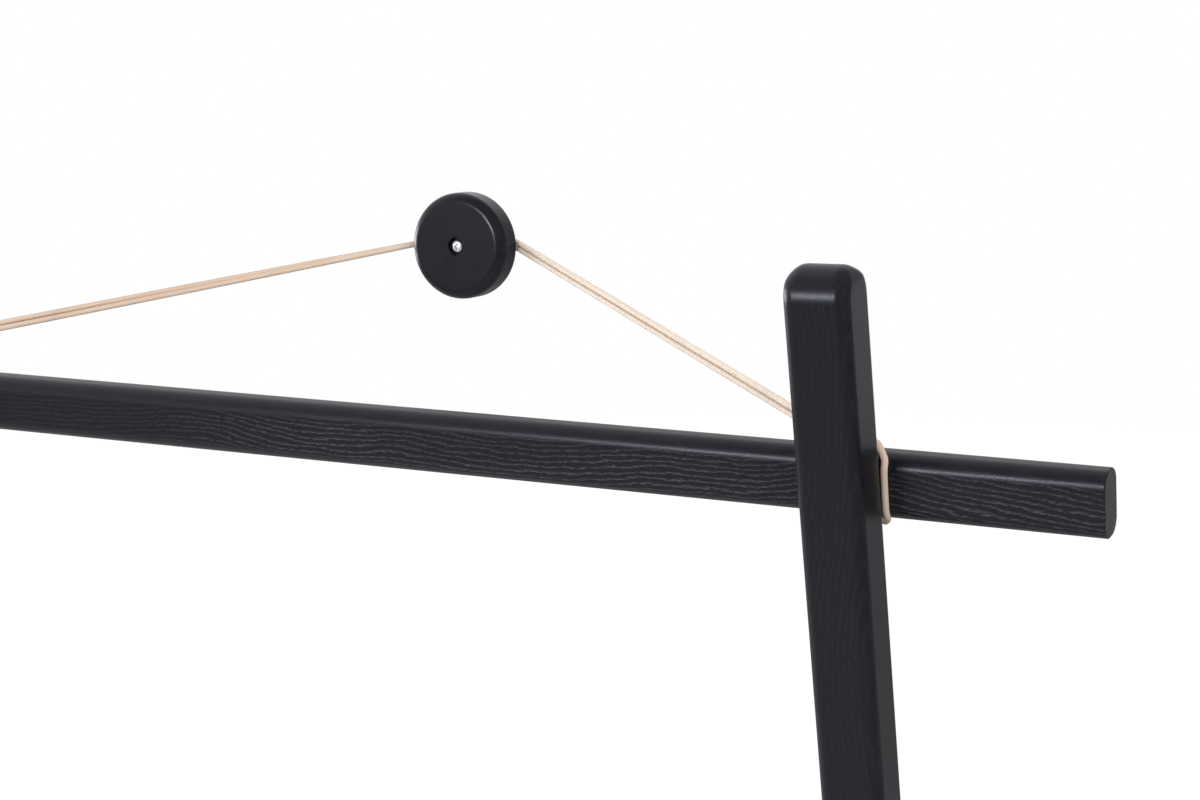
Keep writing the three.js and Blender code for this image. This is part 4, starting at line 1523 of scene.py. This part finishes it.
@dataclass
class LeatherCord:
    """Two strands over the knob's neck, a keeper at each end and a loop round each end of the bar."""

    anchor: WallAnchor
    stand: LeaningFrame
    diameter: float = 4.2 * MM
    loop_clearance: float = 0.5 * MM
    loop_slant: float = 0.62  # drift towards the knob for each length round the bar
    loop_held_turn: float = 40  # degrees of the bar's front rounding that the post's edge still holds
    loop_leaves_at: float = 30  # degrees of the bar's rear rounding that the loop still follows
    keeper_distance: float = 50 * MM
    keeper_length: float = 16 * MM
    keeper_wall: float = 1.6 * MM
    keeper_ease: float = 0.6 * MM
    keeper_hollow: float = 0.15 * MM
    keeper_round: float = 0.95  # corner radius as a share of half the width
    keeper_bore_round: float = 0.98
    pull_rise: float = 2 * MM
    sides: int = 18
    coordinates: str = "cord_space"

    def __post_init__(self) -> None:
        """Works out the shared radii and the route's fixed points."""
        self.radius = self.diameter / 2
        self.pitch = self.diameter + SEAT_GAP
        self.ride = SEAT_GAP + self.radius  # centre over a surface that the cord lies on
        self.neck_ride = self.anchor.neck_diameter / 2 + self.ride
        self.knob_z = self.anchor.axis.z
        self.disc_back = self.anchor.axis.y + self.anchor.disc_back
        edge = self.stand.post_edge_radius
        flat_edge = self.stand.post_half_spacing + self.stand.post_width / 2 - edge
        tucked = math.sqrt((edge + self.ride) ** 2 - (edge + SEAT_GAP - self.ride) ** 2)
        self.loop_x = flat_edge + tucked + self.loop_clearance  # the cord's middle beside the post

    def start(self, side: Side) -> Vector:
        """Middle of a loop behind the bar, from where the doubled cord pulls.

        Args:
            side: Which end of the bar.

        Returns:
            The point.
        """
        bar = middle(Crossing.TOP.value)
        behind = bar.y + self.stand.bar_thickness / 2
        return Vector((side.value * self.loop_x, behind, bar.z + self.pull_rise))

    def direction(self, side: Side) -> Vector:
        """Direction of the doubled cord from a bar end to the knob's rim."""
        rim = Vector((side.value * self.anchor.diameter / 2, self.disc_back, self.knob_z))
        return (rim - self.start(side)).normalized()

    def keeper_middle(self, side: Side) -> Vector:
        """Middle of a keeper."""
        return self.start(side) + self.direction(side) * self.keeper_distance

    @staticmethod
    def upright_to(along: Vector) -> Vector:
        """Square to a direction and as near upright as can be."""
        return (Vector((0, 0, 1)) - along * along.z).normalized()

    def keeper_face(self, side: Side, rank: int, reach: float) -> Vector:
        """Where a strand meets a keeper's face.

        Args:
            side: Which keeper.
            rank: -1 for the lower strand, 1 for the upper one, 0 between them.
            reach: Distance from the keeper's middle, towards the knob if positive.

        Returns:
            The point.
        """
        along = self.direction(side)
        up = self.upright_to(along)
        return self.keeper_middle(side) + along * reach + up * (rank * self.pitch / 2)

    def strand_side(self, side: Side, rank: int) -> list[Vector]:
        """One strand's way from a keeper to the neck.

        Args:
            side: Which half of the strand.
            rank: -1 for the front strand, 1 for the rear one.

        Returns:
            The points of its centre line.
        """
        stacked = math.pi / 2 if side is Side.RIGHT else 0.0  # turn of the pair at the rim
        turn_end = 0.84

        def offset(turn: float) -> float:
            """How far the pair's middle stands off the surface at a turn."""
            return self.ride + self.pitch / 2 * math.cos(turn)

        back = self.anchor.back_radius
        edge_x, edge_y = self.anchor.diameter / 2 - back, self.disc_back - back
        mid = self.keeper_face(side, 0, self.keeper_length / 2 + SEAT_GAP)
        span, rim_ride = abs(mid.x), back + offset(stacked)
        run = math.hypot(span - edge_x, edge_y - mid.y)
        rim_turn = math.atan2(edge_y - mid.y, span - edge_x) + math.asin(rim_ride / run)
        drop = self.knob_z - mid.z
        from_level = math.acos(self.neck_ride / math.hypot(drop, span)) - math.atan2(drop, span)
        leave_x = self.neck_ride * math.cos(from_level)
        leave_z = self.knob_z + self.neck_ride * math.sin(from_level)
        rim_x = edge_x + rim_ride * math.sin(rim_turn)
        rim_y = edge_y + rim_ride * math.cos(rim_turn)

        line = []
        for share in spread(56)[:-1]:
            turn = math.pi / 2 + (stacked - math.pi / 2) * share
            line.append((span + (rim_x - span) * share, mid.y + (rim_y - mid.y) * share, turn))
        for share in spread(8):
            bend = rim_turn * (1 - share)
            line.append((edge_x + rim_ride * math.sin(bend), edge_y + rim_ride * math.cos(bend), stacked))
        for share in spread(20)[1:]:
            turn = stacked * max(0.0, 1 - share / turn_end)
            line.append((edge_x + (leave_x - edge_x) * share, self.disc_back + offset(turn), turn))

        def level(x: float) -> float:
            """The pair's height at an x."""
            return leave_z + (mid.z - leave_z) * (x - leave_x) / (span - leave_x)

        centres = [Vector((side.value * x, y, level(x))) for x, y, _ in line]
        points = []
        for at, along, (_, _, turn) in zip(centres, headings(centres), line):
            up = self.upright_to(along)
            wallward = up.cross(along)
            if wallward.y < 0:
                wallward.negate()
            shift = wallward * math.cos(turn) + up * math.sin(turn)
            points.append(at + shift * (rank * self.pitch / 2))
        return points

    def strand_route(self, rank: int) -> list[Vector]:
        """One strand from the left keeper over the knob's neck to the right keeper.

        Args:
            rank: -1 for the front strand, 1 for the rear one.

        Returns:
            The points of its centre line.
        """
        left, right = (self.strand_side(side, rank) for side in Side)
        wallward = self.disc_back + self.ride + (1 + rank) * self.pitch / 2
        start, end = (math.atan2(part[-1].z - self.knob_z, part[-1].x) for part in (left, right))
        over = []
        for share in spread(16)[1:-1]:
            angle = start + (end - start) * share
            x, z = self.neck_ride * math.cos(angle), self.knob_z + self.neck_ride * math.sin(angle)
            over.append(Vector((x, wallward, z)))
        return [*left, *over, *reversed(right)]

    def loop_route(self, side: Side) -> list[Vector]:
        """A loop from the keeper's lower strand round under the bar, up its front and back over the top.

        Args:
            side: Which end of the bar.

        Returns:
            The points of its centre line.
        """
        steps = 8
        stand = self.stand
        radius = stand.bar_edge_radius + self.ride
        flat_y = stand.bar_thickness / 2 - stand.bar_edge_radius
        flat_z = stand.bar_height / 2 - stand.bar_edge_radius

        def station(rank: int, turn: float) -> Vector:
            """The loop's middle on its way round the bar.

            Args:
                rank: 1 over the bar, -1 under it.
                turn: Angle from the bar's top or underside, to the front if negative.

            Returns:
                The point.
            """
            way = math.copysign(1, turn)
            passed = radius * (math.pi / 2 + turn) + (2 * flat_y if way > 0 else 0)
            drift = self.loop_slant * max(0.0, passed - radius * math.radians(self.loop_held_turn))
            y = way * flat_y + radius * math.sin(turn)
            return self.in_frame(side, self.loop_x - drift, y, rank * (flat_z + radius * math.cos(turn)))

        def half(rank: int) -> list[Vector]:
            """The loop's half from the keeper to the bar's front.

            Args:
                rank: 1 for the upper half, -1 for the lower one.

            Returns:
                Its points.
            """
            face = self.keeper_length / 2 + SEAT_GAP
            path = [self.keeper_face(side, rank, -face), self.keeper_face(side, rank, -face - self.diameter)]
            leaves = math.radians(self.loop_leaves_at)
            path += [station(rank, leaves * share) for share in (1, 0.66, 0.33, 0.0)]
            path += [station(rank, -math.pi / 2 * max(share, 1e-6)) for share in spread(steps)]
            return path

        return [*half(-1), *reversed(half(1))]

    def in_frame(self, side: Side, x: float, y: float, z: float) -> Vector:
        """A point of the leaning frame's space, mirrored to a side."""
        return self.stand.place @ Vector((side.value * x, y, z))

    @staticmethod
    def fair(points: Sequence[Vector], spacing: float) -> list[Vector]:
        """A smooth curve through points, with even steps.

        Args:
            points: The points that it passes.
            spacing: Distance between the curve's points.

        Returns:
            The curve's points.
        """
        padded = [2 * points[0] - points[1], *points, 2 * points[-1] - points[-2]]
        dense = [points[0].copy()]
        for p0, p1, p2, p3 in zip(padded, padded[1:], padded[2:], padded[3:]):
            knots = [0.0]
            for a, b in ((p0, p1), (p1, p2), (p2, p3)):
                knots.append(knots[-1] + max((b - a).length, 1e-9) ** 0.5)
            t0, t1, t2, t3 = knots
            for share in spread(8)[1:]:
                t = t1 + (t2 - t1) * share
                a1 = p0 * ((t1 - t) / (t1 - t0)) + p1 * ((t - t0) / (t1 - t0))
                a2 = p1 * ((t2 - t) / (t2 - t1)) + p2 * ((t - t1) / (t2 - t1))
                a3 = p2 * ((t3 - t) / (t3 - t2)) + p3 * ((t - t2) / (t3 - t2))
                b1 = a1 * ((t2 - t) / (t2 - t0)) + a2 * ((t - t0) / (t2 - t0))
                b2 = a2 * ((t3 - t) / (t3 - t1)) + a3 * ((t - t1) / (t3 - t1))
                dense.append(b1 * ((t2 - t) / (t2 - t1)) + b2 * ((t - t1) / (t2 - t1)))
        total = line_length(dense)
        count = max(2, round(total / spacing))
        even, travelled, target = [dense[0]], 0.0, total / count
        for a, b in zip(dense, dense[1:]):
            length = (b - a).length
            while len(even) < count and travelled + length >= target * len(even):
                even.append(a.lerp(b, (target * len(even) - travelled) / length))
            travelled += length
        even.append(dense[-1])
        return even

    def build_tube(self, name: str, line: Sequence[Vector]) -> bpy.types.Object:
        """A round leather cord along a line, with its straightened coordinates as an attribute.

        Args:
            name: The piece's name.
            line: The points of its centre line.

        Returns:
            The cord.
        """
        rings, spots, travelled = [], [], 0.0
        ways = headings(line)
        up = self.upright_to(ways[0])
        for index, (point, along) in enumerate(zip(line, ways)):
            up = (up - along * up.dot(along)).normalized()
            across = along.cross(up)
            travelled += (point - line[index - 1]).length if index else 0
            ring = []
            for angle in full_turn(self.sides):
                y, z = self.radius * math.cos(angle), self.radius * math.sin(angle)
                ring.append(point + across * y + up * z)
                spots.append((travelled, y, z))
            rings.append(ring)
        made = to_object(name, loft(rings), Matrix.Identity(4))
        attribute = made.data.attributes.new(self.coordinates, "FLOAT_VECTOR", "POINT")
        attribute.data.foreach_set("vector", [value for spot in spots for value in spot])
        smooth(made, 60, weighted=False)
        return made

    def build_strand(self, word: str, rank: int) -> None:
        """Builds and dresses one strand.

        Args:
            word: The strand's name.
            rank: -1 for the front strand, 1 for the rear one.
        """
        line = self.fair(self.strand_route(rank), 2.5 * MM)
        made = self.build_tube(f"cord_strand_{word}_leather", line)
        made.data.materials.append(CORD.material(made.name, self.coordinates))
        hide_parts(f"cord_strand_{word}")
        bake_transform(made)

    def build_loop(self, side: Side) -> None:
        """Args:
            side: Which end.
        """
        line = self.fair(self.loop_route(side), 1.2 * MM)
        made = self.build_tube(f"cord_loop_{side.word}_leather", line)
        material = CORD.material(made.name, self.coordinates)
        dress(made, material, CORD.slot, Body.FRAME, f"cord_loop_{side.word}")

    def build_keeper(self, side: Side) -> None:
        """Builds and dresses the leather sleeve that pinches the two strands together.

        Args:
            side: Which end.
        """
        along = self.direction(side)
        up = self.upright_to(along)
        basis = Matrix((along, up.cross(along), up)).transposed().to_4x4()
        place = Matrix.Translation(self.keeper_middle(side)) @ basis
        half, steps = self.keeper_length / 2, 12
        tall = self.pitch + self.diameter  # of the two strands, one above the other
        rings = []
        for x, inset in eased_ends(half, self.keeper_ease, 4):
            more = 2 * self.keeper_wall - 2 * inset
            wide = self.diameter + more
            outline = rounded_rectangle(wide, tall + more, wide / 2 * self.keeper_round, steps)
            rings.append(section_at(x, outline))
        more = 2 * self.keeper_hollow
        wide = self.diameter + more
        outline = rounded_rectangle(wide, tall + more, wide / 2 * self.keeper_bore_round, steps)
        rings += [section_at(x, outline) for x in (half, -half)]
        made = to_object(f"cord_keeper_{side.word}_leather", loft(rings, False, True), place)
        smooth(made, 45)
        dress(made, KEEPER.material(made.name, half), KEEPER.slot, Body.FRAME, f"cord_keeper_{side.word}")

    def build(self) -> None:
        """Builds the whole cord."""
        self.build_strand("front", -1)
        self.build_strand("rear", 1)
        for side in Side:
            self.build_loop(side)
            self.build_keeper(side)


def main() -> None:
    """Builds the scene: camera and cords first, then the frame, the wall pieces and the studio."""
    logging.basicConfig(level=logging.INFO, format="%(name)s: %(message)s")
    bpy.context.scene.view_settings.view_transform = "Standard"
    studio = Studio()
    studio.make_camera()
    stand, anchor = LeaningFrame(), WallAnchor()
    LeatherCord(anchor, stand).build()
    stand.build()
    anchor.build()
    studio.make_world()
    studio.make_lamps()
    studio.make_floor()


if __name__ == "__main__":
    main()
